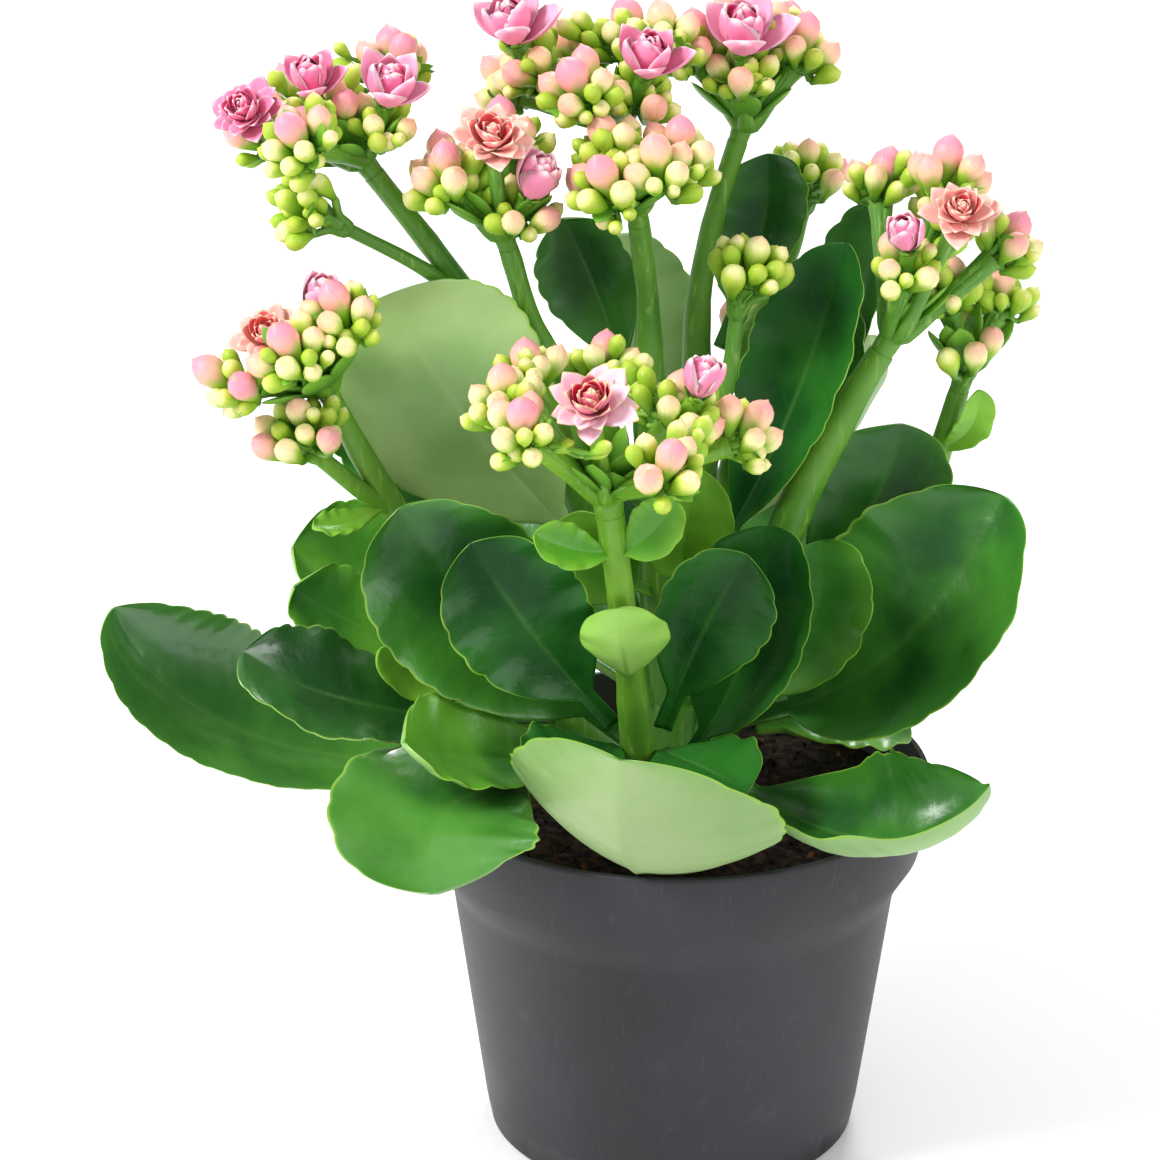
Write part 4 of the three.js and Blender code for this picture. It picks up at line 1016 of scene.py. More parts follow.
# %% Leaves
LEAVES = {
    "leaf_left_far": ([(-22.4, -3.9, 96.9), (-92, -17, 104), (-127, -20, 139)], (0.1, -0.55, 0.8), 44, 0.45),
    "leaf_left_low": ([(-29.2, -5.8, 105.1), (-70, -30, 119), (-97, -37, 135)], (0.1, -0.5, 0.85), 30, 0.2),
    "leaf_left_back": ([(-21.8, 7.4, 106.2), (-66, 14, 127), (-89, 14, 140)], (0.25, -0.6, 0.8), 36, 0.4),
    "leaf_left_middle": ([(-37.6, -6.3, 113.4), (-72, -8, 129), (-87, -10, 140)], (0.1, -0.7, 0.7), 22, 0.3),
    "leaf_front_left_large": (
        [(-9.1, -17.5, 103.8), (-41, -25, 136), (-62, -28, 166)], (-0.15, -0.85, 0.5), 44, 0.3),
    "leaf_front_left_inner": (
        [(-15, -28.9, 114.4), (-32.5, -33, 138), (-46, -34, 160)], (-0.1, -0.85, 0.5), 34, 0.3),
    "leaf_left_near": ([(-10.7, -15.8, 99.2), (-45, -39, 110), (-61, -52, 120)], (0.15, -0.5, 0.85), 28, 0.3),
    "leaf_over_rim": ([(-8, -11.5, 89.3), (-47, -48, 105), (-54, -77, 95)], (0.12, -0.3, 1), 48, 0.1),
    "leaf_front_raised": ([(3.2, -9.2, 86.6), (-9, -56, 91), (-13.5, -77, 127)], (0.25, 0.4, 1), 70, 0.3),
    "leaf_front_right": ([(7, 0, 92.6), (41, -52, 96), (67, -55, 111)], (-0.2, -0.3, 0.9), 40, 0.7),
    "leaf_right_large": ([(15.2, 0.6, 102.5), (49, -8, 122), (74, -4, 160)], (-0.5, -0.7, 0.5), 55, 0.35),
    "leaf_right_back": ([(23.9, 4.3, 124.7), (44, 10, 150), (52, 13, 171)], (0, -0.9, 0.4), 32, 0.2),
    "leaf_centre_large": ([(1.8, -14.1, 96.4), (16, -22, 130), (20, -18, 158)], (-0.4, -0.85, 0.3), 36, 0.4),
    "leaf_centre_behind": ([(11.9, -1.9, 105.1), (30, -8, 128), (33, -4, 149)], (-0.3, -0.85, 0.3), 30, 0.3),
    "leaf_centre_near": ([(-3.2, -27.1, 113), (6, -30, 138), (15, -31, 156)], (0.1, -0.9, 0.4), 28, 0.3),
    "leaf_foot_left": (
        [(-13.8, -28.9, 107.2), (-23, -41, 111), (-34, -48, 111)], (-0.1, -0.35, 0.9), 24, 0.1),
    "leaf_foot_right": ([(-3.5, -28.8, 106.2), (5, -42, 109), (15, -51, 107)], (0.1, -0.35, 0.9), 26, 0.1),
    "leaf_upper_left_large": (
        [(-15.1, 2.4, 138.7), (-48, 0, 178), (-65, 5, 205)], (-0.2, -0.9, 0.25), 52, 0.1),
    "leaf_upper_left_behind": (
        [(-41, 2.4, 128.4), (-62, 13, 160), (-76, 17, 180)], (-0.1, -0.9, 0.3), 24, 0.3),
    "leaf_upper_middle": ([(-10.1, 16.4, 177.9), (-18, 20, 200), (-26, 20, 218)], (-0.2, -0.9, 0.3), 24, 0.3),
    "leaf_upper_back": ([(11, 22, 186), (20, 33, 210), (21, 38, 228)], (-0.3, -0.8, 0.4), 24, 0.3),
    "leaf_right_long": ([(8.4, 5.6, 138.5), (26, 2, 178), (38, 8, 216)], (-0.6, -0.8, 0.1), 30, 0.4),
    "leaf_right_long_behind": ([(11.2, 15, 142), (30, 17, 170), (41, 21, 196)], (-0.6, -0.8, 0.15), 24, 0.4),
    "leaf_right_low": ([(19.4, 9.1, 96.3), (38, 10, 97), (56, 14, 94)], (0, -0.4, 0.9), 22, 0.2),
    "leaf_right_pointed": ([(27.7, 29, 148.6), (39, 28, 186), (46, 32, 218)], (-0.6, -0.7, 0.2), 22, 0.4),
    "leaf_back_left": ([(-9, 15.1, 104.6), (-44, 44, 122), (-66, 62, 150)], (0.3, -0.4, 0.85), 42, 0.4),
    "leaf_back_middle": ([(-7.7, 13.4, 98.3), (-9, 58, 112), (-14, 84, 138)], (0, -0.4, 0.9), 46, 0.4),
    "leaf_back_right": ([(25.6, 21.3, 103.7), (54, 40, 112), (80, 52, 136)], (-0.3, -0.4, 0.85), 38, 0.3),
    "leaf_back_high": ([(1.6, 21.4, 150.3), (-6, 44, 176), (-14, 52, 204)], (0.1, 0.9, 0.4), 30, 0.3),
}
LEAF_EXTRAS = {
    "leaf_over_rim": {"stalk": 0.3},
    "leaf_front_raised": {"stalk": 0.3},
    "leaf_foot_left": {"stalk": 0.05},
    "leaf_foot_right": {"stalk": 0.05},
    "leaf_upper_left_large": {"fold": 0.05},
}
print("leaves planned:", len(LEAVES))

# %% Leaf pieces
LEAF_KINDS = {
    "dark": ("leaf_front_left_inner", "leaf_centre_large", "leaf_centre_near", "leaf_foot_left",
             "leaf_foot_right", "leaf_right_long"),
    "light": ("leaf_left_back", "leaf_left_middle", "leaf_left_near", "leaf_centre_behind", "leaf_right_low"),
    "glossy": ("leaf_left_far", "leaf_over_rim"),
    "wet_dark": ("leaf_left_low",),
    "waxy": ("leaf_upper_left_large",),
    "pale": ("leaf_front_raised",),
}
kind_of_leaf = {name: kind for kind, names in LEAF_KINDS.items() for name in names}

for order, (name, (rib, looks, width, cup)) in enumerate(LEAVES.items()):
    points, faces, uvs, under = blade(rib, looks, width, cup, LEAF, seed=order, **LEAF_EXTRAS.get(name, {}))
    leaf = new_mesh_object(name + "_blade", points, faces, uv=uvs, values={"under": under})
    finish_piece(leaf, "leaf", name, material=LEAF_FINISHES[kind_of_leaf.get(name, "plain")])
print("leaves:", len(LEAVES), "of", len(faces), "faces each")

# %% [markdown]
# ## Small leaves on the stems
#
# Below the heads the flower stems carry small leaves, and a few larger ones stand low at the back. They grow
# straight out of the stem, so in the solid model they are part of the stems. Here they are two pieces, one for
# each finish, made of the same blades as the other leaves and joined before they become a mesh.

# %% Small leaves
FIRST_SEED = 100
STEM_LEAVES = {
    "large_stem_leaves": ("plain", 0.2, [
        ([(-2, 8, 91), (-40, 44, 96), (-64, 62, 106)], (0.2, -0.2, 0.9), 38, 0.3),
        ([(4, 8, 92), (44, 40, 97), (70, 54, 106)], (-0.2, -0.2, 0.9), 36, 0.3),
        ([(4, 24, 108), (24, 55, 116), (34, 80, 134)], (-0.1, -0.4, 0.9), 38, 0.3),
        ([(-12, 15, 128), (-34, 38, 150), (-44, 50, 178)], (0.3, 0.8, 0.5), 36, 0.3),
        ([(6, 19, 138), (34, 36, 156), (46, 44, 182)], (-0.3, 0.8, 0.5), 32, 0.3),
    ]),
    "small_stem_leaves": ("young", 0.16, [
        ([(-40, -4, 121), (-56, -19, 121), (-67, -25, 131)], (0.2, -0.6, 0.7), 16, 0.2),
        ([(-5, 11, 130), (-17, -4, 144), (-22, -9, 158)], (-0.1, -0.85, 0.5), 24, 0.3),
        ([(2, 12, 132), (2, -2, 148), (5, -6, 167)], (0.1, -0.9, 0.4), 22, 0.3),
        ([(-11, -35, 130), (-12, -43, 136), (-14, -45, 149)], (0, 0.6, 0.7), 22, 0.3),
        ([(-14, -40, 160), (-23, -46, 163), (-32, -49, 168)], (0.1, -0.75, 0.6), 11, 0.2),
        ([(-14, -40, 160), (-7, -45, 166), (-1, -47, 175)], (-0.2, -0.8, 0.4), 13, 0.2),
        ([(-66, -9, 160), (-74, -14, 157), (-82, -18, 158)], (0, -0.5, 0.9), 8, 0.2),
        ([(60, 19, 163), (67, 11, 170), (69, 8, 181)], (0.2, -0.9, 0.2), 9, 0.2),
    ]),
}


def joined_blades(blades):
    points, faces, uvs, under = [], [], [], []
    for more_points, more_faces, more_uvs, more_under in blades:
        faces += [tuple(index + len(points) for index in face) for face in more_faces]
        points += more_points
        uvs += more_uvs
        under += more_under
    return points, faces, uvs, under


seed = FIRST_SEED
for name, (kind, stalk, group) in STEM_LEAVES.items():
    blades = [blade(*sizes, SMALL_LEAF, stalk=stalk, seed=seed + k) for k, sizes in enumerate(group)]
    seed += len(group)
    points, faces, uvs, under = joined_blades(blades)
    small_leaves = new_mesh_object(name, points, faces, uv=uvs, values={"under": under})
    finish_piece(small_leaves, "stem", "stems", material=LEAF_FINISHES[kind])
    print(name, len(group), "with", len(faces), "faces")

# %% [markdown]
# ## How a flower head branches
#
# A head opens from the end of its stem into a ring of arms with one more in the middle, and each arm ends in
# a knot of short stalks with a bud on each. A few arms end in a single bud or in a flower. The rule below is
# the same one that shaped the solid heads, with the same seeds, so each fine bud sits where its solid one
# does. After they are placed, the buds push each other apart a little, as real ones do when they swell.

# %% Head measures
SEAT_GAP = 0.3
BUD = {
    "middle": 3.6, "largest": 3.1, "smallest": 2.4, "vary": (0.9, 1.08), "apart": 0.3, "stalk": 7.5,
    "splay": 0.9,
}
KNOT = {"flare": 1.25, "close": 0.62, "height": 1.4, "wider": 1.15}
ARM = {"radius": 1.1, "share": 0.7, "lift": 0.7, "shortest": 3}
CUP = {"depth": 3, "reach": 7}
BLOOM_CLEAR = 0.8
PART = {
    "rounds": 40, "within": 24, "share": 0.5, "thin": 0.7, "stalk": 1.2, "arm": 2,
    "shortest": 5.5, "longest": 11,
}


def bloom(at_point, faces, size, opening=False, tint="pink"):
    return {"at": at(*at_point), "faces": unit(at(*faces)), "size": size, "opening": opening, "tint": tint}


HEADS = {
    "head_front": {
        "on": "front", "top": (-10, -44, 205), "spread": (39, 40), "drop": 19, "arms": 7,
        "single": 0, "buds": 1, "seed": 10, "ripe": 0.5,
        "blooms": {
            "bloom_front": bloom((-19.5, -55, 198), (-0.05, -0.6, 0.8), 21, tint="cream_edged"),
            "bloom_front_opening": bloom((3, -48.5, 199.5), (0.2, -0.35, 0.9), 11, True),
        }},
    "head_left": {
        "on": "left", "top": (-91, -9, 208), "spread": (26, 27), "drop": 14, "arms": 5,
        "single": 2, "buds": 1, "seed": 310, "ripe": 0.6,
        "blooms": {
            "bloom_left": bloom((-90.5, -17.5, 201), (-0.15, -0.6, 0.8), 17, tint="peach"),
            "bloom_left_opening": bloom((-80, -9.5, 204), (0.15, -0.3, 0.95), 11, True),
        }},
    "head_left_low": {
        "on": "left_low", "top": (-84, -20, 185), "spread": (12, 11), "drop": 6, "arms": 5,
        "single": 5, "buds": 0.85, "seed": 23, "ripe": 0.35,
        "blooms": {}},
    "head_tall_left": {
        "on": "tall_left", "top": (-78, 8, 260), "spread": (34, 34), "drop": 18, "arms": 6,
        "single": 0, "buds": 1, "seed": 44, "ripe": 0.65,
        "blooms": {
            "bloom_tall_left": bloom((-94.5, 3, 246.5), (-0.35, -0.65, 0.7), 18, tint="magenta"),
            "bloom_tall_left_young": bloom((-81, 6, 251), (-0.1, -0.4, 0.9), 11, True, tint="magenta"),
            "bloom_tall_left_opening": bloom((-65, 4, 249.5), (0.2, -0.4, 0.9), 12, True),
        }},
    "head_tall_left_low": {
        "on": "tall_left_low", "top": (-86, -3, 229), "spread": (9, 8), "drop": 4, "arms": 4,
        "single": 4, "buds": 0.75, "seed": 5, "ripe": 0.1,
        "blooms": {}},
    "head_middle_left": {
        "on": "middle_left", "top": (-38, 4, 244), "spread": (21, 23), "drop": 14, "arms": 5,
        "single": 0, "buds": 1, "seed": 28, "ripe": 0.5,
        "blooms": {
            "bloom_middle_left": bloom((-41, -8, 243), (0, -0.6, 0.8), 20, tint="peach"),
            "bloom_middle_left_opening": bloom((-33.5, -6, 231), (0.35, -0.4, 0.85), 12, True),
        }},
    "head_middle": {
        "on": "middle", "top": (-16, 0, 243), "spread": (21, 18), "drop": 10, "arms": 4,
        "single": 1, "buds": 1, "seed": 7, "ripe": 0.45,
        "blooms": {}},
    "head_top": {
        "on": "top", "top": (-27, 19, 262), "spread": (34, 23), "drop": 15, "arms": 6,
        "single": 0, "buds": 1, "seed": 8, "ripe": 0.55,
        "blooms": {
            "bloom_top_opening": bloom((-7.5, 12, 254), (0.1, -0.4, 0.9), 12, True, tint="magenta"),
            "bloom_top_young": bloom((-36.5, 18, 259.5), (-0.15, -0.35, 0.95), 13, True),
        }},
    "head_tall_right": {
        "on": "tall_right", "top": (16, 34, 264), "spread": (19, 20), "drop": 13, "arms": 5,
        "single": 0, "buds": 1, "seed": 89, "ripe": 0.6,
        "blooms": {
            "bloom_tall_right": bloom((14.5, 24, 256), (0, -0.4, 0.9), 14, True),
        }},
    "head_small_middle": {
        "on": "small_middle", "top": (17, -4, 217), "spread": (9, 9), "drop": 4, "arms": 5,
        "single": 5, "buds": 0.8, "seed": 11, "ripe": 0.05,
        "blooms": {}},
    "head_small_back": {
        "on": "small_back", "top": (31, 46, 225), "spread": (10, 12), "drop": 7, "arms": 5,
        "single": 5, "buds": 0.8, "seed": 12, "ripe": 0.4,
        "blooms": {}},
    "head_right": {
        "on": "right", "top": (61, 3, 235), "spread": (27, 29), "drop": 20, "arms": 5,
        "single": 0, "buds": 1, "seed": 13, "ripe": 0.6,
        "blooms": {
            "bloom_right": bloom((61.5, -6, 226), (0.05, -0.65, 0.75), 18, tint="peach"),
            "bloom_right_opening": bloom((50.5, -9, 220), (-0.2, -0.5, 0.85), 10, True),
        }},
    "head_right_low": {
        "on": "right_low", "top": (60, 10, 206), "spread": (20, 24), "drop": 15, "arms": 5,
        "single": 4, "buds": 0.9, "seed": 14, "ripe": 0.3,
        "blooms": {}},
    "head_back": {
        "on": "back", "top": (24, 62, 188), "spread": (18, 16), "drop": 9, "arms": 5,
        "single": 2, "buds": 1, "seed": 35, "ripe": 0.4,
        "blooms": {}},
}
print("heads:", len(HEADS), "flowers:", sum(len(head["blooms"]) for head in HEADS.values()))


# %% Rings, knots and cups
RIGHT_HAND_TURN = -1.5


def ring_at(centre, side, other, radius, sides, turn=0.0):
    angles = 2 * np.pi * (np.arange(sides) + turn) / sides
    return centre + radius * (np.outer(np.cos(angles), side) + np.outer(np.sin(angles), other))


def carried(ring, along, centre, radius):
    """The next ring of a growing branch. A ring of four keeps its right-hand side on the right."""
    four = len(ring) == 4
    lead = ring[1] + ring[2] - ring[0] - ring[3] if four else ring[0] - ring.mean(0)
    side, other = across_of(along, lead)
    return ring_at(centre, side, other, radius, len(ring), RIGHT_HAND_TURN if four else 0.0)


def knot_faces(ring, centre, along, radius):
    """The corner rings of a knot's side faces, and the ring of its top."""
    flare = carried(ring, along, centre, radius * KNOT["flare"])
    top = (flare - centre) * KNOT["close"] + centre + along * radius * KNOT["height"]
    after = [(k + 1) % len(flare) for k in range(len(flare))]
    return [np.array([flare[k], flare[n], top[n], top[k]]) for k, n in enumerate(after)], top


def cup_of(flower):
    """The top and the foot of the small cup that a flower sits in."""
    seat = flower["at"] - flower["faces"] * SEAT_GAP
    return seat, seat - flower["faces"] * CUP["depth"]


seat, foot = cup_of(HEADS["head_front"]["blooms"]["bloom_front"])
print("front flower's cup, from", foot.round(1), "to", seat.round(1))


# %% Plan of a head
def plan_arms(head, foot, axis, sides, hub_top):
    """For each arm: the ring it grows from, the point it aims at and the flower that it carries, if any."""
    top = at(*head["top"])
    reach = at(head["spread"][0], head["spread"][1], head["spread"][1])
    arms = []
    for ring in sides:
        out = ring.mean(0) - foot
        out = unit(out - out @ axis * axis) * ARM["share"]
        arms.append([ring, top + reach * out - axis * head["drop"] * ARM["share"] ** 2, None])
    arms.append([hub_top, top, None])
    for flower in head["blooms"].values():
        free = [arm for arm in arms if arm[2] is None]
        min(free, key=lambda arm: np.linalg.norm(arm[1] - flower["at"]))[2] = flower
    return arms


def plan_head(head):
    """The places of a head's arms, knots and buds."""
    draw = seeded_draws(head["seed"])
    path, radii = STEMS[head["on"]]
    up, radius = path_direction(path, 1), radii[-1]
    foot = path_point(path, 1) + up * SEAT_GAP
    hub = foot + up * radius
    side, other = across_of(up, any_across(up))
    sides, hub_top = knot_faces(ring_at(foot, side, other, radius, head["arms"]), hub, up, radius)
    axis = unit(at(*head["top"]) - foot)
    plan = {"foot": foot, "up": up, "axis": axis, "hub": hub, "radius": radius}
    plan.update(buds=[], arms=[], knots=[])

    def add_bud(ring, centre, size, knot):
        bud_radius = size * head["buds"] * mix(*BUD["vary"], draw())
        plan["buds"].append({"root": ring.mean(0), "centre": centre, "radius": bud_radius, "knot": knot})

    def add_knot(start_ring, target, flower):
        """An arm that ends in a knot of buds. A flower that it carries stands in the middle bud's place."""
        root = start_ring.mean(0)
        target = cup_of(flower)[1] if flower else target
        way = target - root
        rise = unit(way) if flower else unit(unit(way) + axis * ARM["lift"])
        before = max(np.linalg.norm(way) - CUP["reach"], ARM["shortest"])
        end = root + rise * before if flower else target - rise * BUD["stalk"]
        centre = end + rise * ARM["radius"]
        ring = carried(start_ring, rise, end, ARM["radius"])
        faces, knot_top = knot_faces(ring, centre, rise, ARM["radius"] * KNOT["wider"])
        plan["arms"].append((root, end))
        plan["knots"].append((root, centre))
        if flower:
            plan["arms"].append((centre, cup_of(flower)[0]))
        else:
            add_bud(knot_top, target, BUD["middle"], (root, centre))
        for face in faces:
            out = face.mean(0) - centre
            out = unit(out - out @ rise * rise)
            way = rise * math.cos(BUD["splay"]) + out * math.sin(BUD["splay"])
            size = mix(BUD["smallest"], BUD["largest"], draw())
            add_bud(face, centre + way * BUD["stalk"], size, (root, centre))

    for k, (ring, target, flower) in enumerate(plan_arms(head, foot, axis, sides, hub_top)):
        if flower and not flower["opening"]:
            plan["arms"].append((ring.mean(0), cup_of(flower)[0]))
        elif k < head["single"] and not flower:
            add_bud(ring, target, mix(BUD["largest"], BUD["middle"], draw()), (foot, hub))
        else:
            add_knot(ring, target, flower)
    return plan


plans = {name: plan_head(head) for name, head in HEADS.items()}
print("buds:", sum(len(plan["buds"]) for plan in plans.values()))


# %% Room between buds
def nearest_on(start, end, points):
    """The nearest point to each of the points on the line from start to end."""
    way = end - start
    t = np.clip(((points - start) * way).sum(-1) / (way * way).sum(-1), 0, 1)
    return start + way * t[..., None]


def clear_of(points, others, reach):
    """The push that takes each point out to reach from the other, or none if it is already further."""
    way = points - others
    far = np.linalg.norm(way, axis=-1)
    return way / far[..., None] * np.clip(reach - far, 0, None)[..., None]


def flower_room(flower):
    """The middle and the radius of the ball that a flower fills."""
    out, radius = (0.4, 0.5) if flower["opening"] else (0.16, 0.46)
    return flower["at"] + flower["faces"] * flower["size"] * out, flower["size"] * radius


_, room = flower_room(HEADS["head_front"]["blooms"]["bloom_front"])
print("room of the front flower:", round(room, 1), "mm")


# %% Part the buds
def push_on(k, roots, centres, radii, arms, flowers):
    """How its neighbours, their stalks, the arms and the flowers together push bud k."""
    here, radius, root = centres[k], radii[k], roots[k]
    near = np.linalg.norm(centres - here, axis=1) <= PART["within"]
    near[k] = False
    there, there_root, there_radius = centres[near], roots[near], radii[near]
    their_stalks = nearest_on(there_root, there_root + PART["thin"] * (there - there_root), here)
    own_stalk = nearest_on(root, root + PART["thin"] * (here - root), there)
    push = PART["share"] * clear_of(here, there, radius + there_radius + BUD["apart"]).sum(0)
    push += PART["share"] * clear_of(here, their_stalks, radius + PART["stalk"]).sum(0)
    push += PART["share"] * clear_of(own_stalk, there, there_radius + PART["stalk"]).sum(0)
    push += clear_of(here, nearest_on(*arms, here), radius + PART["arm"]).sum(0)
    push += clear_of(here, flowers[0], flowers[1] + radius + BLOOM_CLEAR).sum(0)
    return push


def part_buds(plans):
    buds = [bud for plan in plans for bud in plan["buds"]]
    roots, centres, radii = (np.array([bud[key] for bud in buds]) for key in ("root", "centre", "radius"))
    arms = [np.array([arm[k] for plan in plans for arm in plan["arms"]]) for k in (0, 1)]
    rooms = [flower_room(flower) for head in HEADS.values() for flower in head["blooms"].values()]
    flowers = [np.array([room[k] for room in rooms]) for k in (0, 1)]
    for _ in range(PART["rounds"]):
        for k, root in enumerate(roots):
            way = centres[k] + push_on(k, roots, centres, radii, arms, flowers) - root
            length = np.linalg.norm(way)
            centres[k] = root + way / length * min(max(length, PART["shortest"]), PART["longest"])
    for bud, centre in zip(buds, centres):
        bud["centre"] = centre


part_buds(list(plans.values()))
print("front head, first bud at", plans["head_front"]["buds"][0]["centre"].round(1))

# %% [markdown]
# ## Buds
#
# A bud is a plump pointed egg on a fleshy stalk that widens into it. Young buds are yellow-green; as they
# ripen their tips turn cream, then peach and pink, and the edges of the folded petals show as a faint spiral.
# One small mesh of about a hundred faces serves for all of them. Its UV map runs round it and up it, and each
# bud carries its own ripeness, so one finish colours the whole range.

# %% Bud shape
BUD_SIDES = 12
BUD_PROFILE = [
    (-2.3, 0.3), (-1.7, 0.44), (-1.15, 0.66), (-0.65, 0.86), (-0.15, 0.98), (0.3, 0.99), (0.72, 0.83),
    (1.06, 0.5), (1.24, 0.2),
]
BUD_FOOT = BUD_PROFILE[0][0]
BUD_TIP = 1.42
BUD_LENGTH = BUD_TIP - BUD_FOOT
BUD_LOBES = 4
LOBE_HEIGHT = 0.03
LOBE_TWIST = 1.1


def close_uv_seam(mesh):
    """Lets the last column of faces run on past 1, so that the pattern round a bud has no break."""
    corners = mesh.uv_layers[0].data
    for face in mesh.polygons:
        around = max(corners[k].uv[0] for k in face.loop_indices)
        for k in face.loop_indices:
            if around > 0.8 and corners[k].uv[0] < 0.2:
                corners[k].uv[0] += 1.0


def bud_shape():
    points, uvs = [], []
    for height, radius in BUD_PROFILE:
        share = (height - BUD_FOOT) / BUD_LENGTH
        for k in range(BUD_SIDES):
            angle = 2 * math.pi * k / BUD_SIDES
            twisted = math.sin(BUD_LOBES * (angle + LOBE_TWIST * share))
            lobe = 1 + LOBE_HEIGHT * smooth(0.3, 0.8, share) * twisted
            points.append((radius * lobe * math.cos(angle), radius * lobe * math.sin(angle), height))
            uvs.append((k / BUD_SIDES, share))
    foot, tip = len(points), len(points) + 1
    points += [(0, 0, BUD_FOOT - 0.1), (0, 0, BUD_TIP)]
    uvs += [(0, 0), (0, 1)]
    faces = skin_over(len(BUD_PROFILE), BUD_SIDES, foot, tip)
    built = new_mesh_object("bud_shape", np.array(points) / MM, faces, uv=uvs)
    close_uv_seam(built.data)
    return built


bud_object = bud_shape()
print("bud faces:", len(bud_object.data.polygons))

# %% Ripening colours
RIPENING = [
    (0.0, rgb(158, 194, 46)),
    (0.25, rgb(194, 212, 78)),
    (0.42, rgb(240, 236, 166)),
    (0.6, rgb(252, 208, 168)),
    (0.8, rgb(248, 178, 164)),
    (1.0, rgb(241, 152, 172)),
]


def ripe_colour(tree, shade):
    ramp = add_node(tree, "ShaderNodeValToRGB", {"Fac": shade})
    stops = ramp.color_ramp.elements
    stops[0].position, stops[0].color = RIPENING[0]
    stops[1].position, stops[1].color = RIPENING[-1]
    for position, colour in RIPENING[1:-1]:
        stops.new(position).color = colour
    return ramp.outputs["Color"]


bud_skin, tree, shader = new_material("bud_skin", Specular_IOR_Level=0.4)
around, height, _ = split(tree, uv_map(tree))
place = object_place(tree)
ripe = stored(tree, "ripe")
mottle = noise(tree, place, 260.0)
shade = calculate(tree, "MULTIPLY_ADD", mottle, 0.2, calculate(tree, "ADD", ripe, -0.22))
shade = calculate(tree, "MULTIPLY_ADD", step_between(tree, height, 0.62, 1.0), 0.26, shade)
petal_colour = ripe_colour(tree, shade)
print("ripening colours:", len(RIPENING))

# %% Folds, sepals and small bracts
FOLD_COLOUR = rgb(224, 140, 128)
TIP_COLOUR = rgb(196, 190, 90)

turn = calculate(tree, "MULTIPLY_ADD", around, BUD_LOBES, calculate(tree, "MULTIPLY", height, 0.7))
fold = calculate(tree, "MULTIPLY", step_between(tree, calculate(tree, "PINGPONG", turn, 0.5), 0.075, 0.0),
                 step_between(tree, height, 0.55, 0.8))
fold_strength = calculate(tree, "MULTIPLY", fold, step_between(tree, ripe, 0.3, 0.9, 0.05, 0.3))
four_sepals = calculate(tree, "PINGPONG", calculate(tree, "MULTIPLY", around, 4.0), 0.5)
sepal_edge = calculate(tree, "MULTIPLY_ADD", calculate(tree, "MULTIPLY", four_sepals, 0.5), -0.5, height)
above_sepals = calculate(tree, "MULTIPLY_ADD", ripe, 0.2, sepal_edge)
green = mix_colours(tree, step_between(tree, height, 0.05, 0.45), rgb(96, 152, 34), rgb(150, 192, 48))
colour = mix_colours(tree, step_between(tree, above_sepals, 0.44, 0.8), green, petal_colour)
colour = mix_colours(tree, fold_strength, colour, FOLD_COLOUR)
tip = calculate(tree, "MULTIPLY", step_between(tree, height, 0.92, 1.0), 0.5)
colour = mix_colours(tree, tip, colour, TIP_COLOUR)
leafy = mix_colours(tree, step_between(tree, height, 0.3, 1.0), rgb(72, 134, 38), rgb(116, 172, 48))
colour = mix_colours(tree, step_between(tree, ripe, -0.2, -0.8), colour, leafy)
print("bud colours mixed")

# %% Bud finish
roughness = calculate(tree, "MULTIPLY_ADD", mottle, 0.2, 0.34)
relief = calculate(tree, "MULTIPLY_ADD", fold, -0.8, noise(tree, place, 900.0))
feed(tree, shader.inputs, Base_Color=colour, Roughness=roughness, Normal=relief_normal(tree, relief, 0.3))
print("bud finish nodes:", len(tree.nodes))

# %% [markdown]
# ## Heads of buds
#
# The plan above gives the lines of the arms and a point for every ripe bud. In a real head each bud has
# a fleshy stalk of its own, which runs up beside the arm as one of a bundle and bends out at the knot. Young
# buds fill the room between the ripe ones, and small narrow bracts stand at the knots and at the foot of the
# head. So a sketch of each head is made first: chains for arms and stalks, and loose points for whatever is
# a bud, a sepal or a bract. A geometry tree makes tubes along the chains and stands the bud's shape on each
# point, turned and sized as the point says. A sepal or a bract is the same shape pressed flat. One tree
# dresses all fourteen heads, so a change to a bud or a stalk is made once.

# %% Head tree
HEAD_INPUTS = [
    ("Plan", "NodeSocketGeometry", None),
    ("Bud Shape", "NodeSocketObject", None),
    ("Sides", "NodeSocketInt", 8),
    ("Steps", "NodeSocketInt", 11),
    ("Finish", "NodeSocketMaterial", None),
    ("Stalk Finish", "NodeSocketMaterial", None),
]


def buds_on_points(tree, given):
    """The bud's shape on each loose point of the plan, which are the points that have a girth."""
    girth, aim, side = (plan_value(tree, key, "FLOAT_VECTOR") for key in ("girth", "aim", "side"))
    is_bud = step(tree, "FunctionNodeCompare", {0: split(tree, girth)["X"], 1: 0.0}, operation="GREATER_THAN")
    places = step(tree, "GeometryNodeMeshToPoints", {"Mesh": given["Plan"], "Selection": is_bud})
    upright = step(tree, "FunctionNodeAlignRotationToVector", {"Vector": aim}, axis="Z")
    turned_round = step(tree, "FunctionNodeAlignRotationToVector", {"Rotation": upright, "Vector": side},
                        axis="Y", pivot_axis="Z")
    shape = add_node(tree, "GeometryNodeObjectInfo", {"Object": given["Bud Shape"]}).outputs["Geometry"]
    placed = step(tree, "GeometryNodeInstanceOnPoints", {
        "Points": places, "Instance": shape, "Rotation": turned_round, "Scale": girth})
    return step(tree, "GeometryNodeRealizeInstances", {"Geometry": placed})


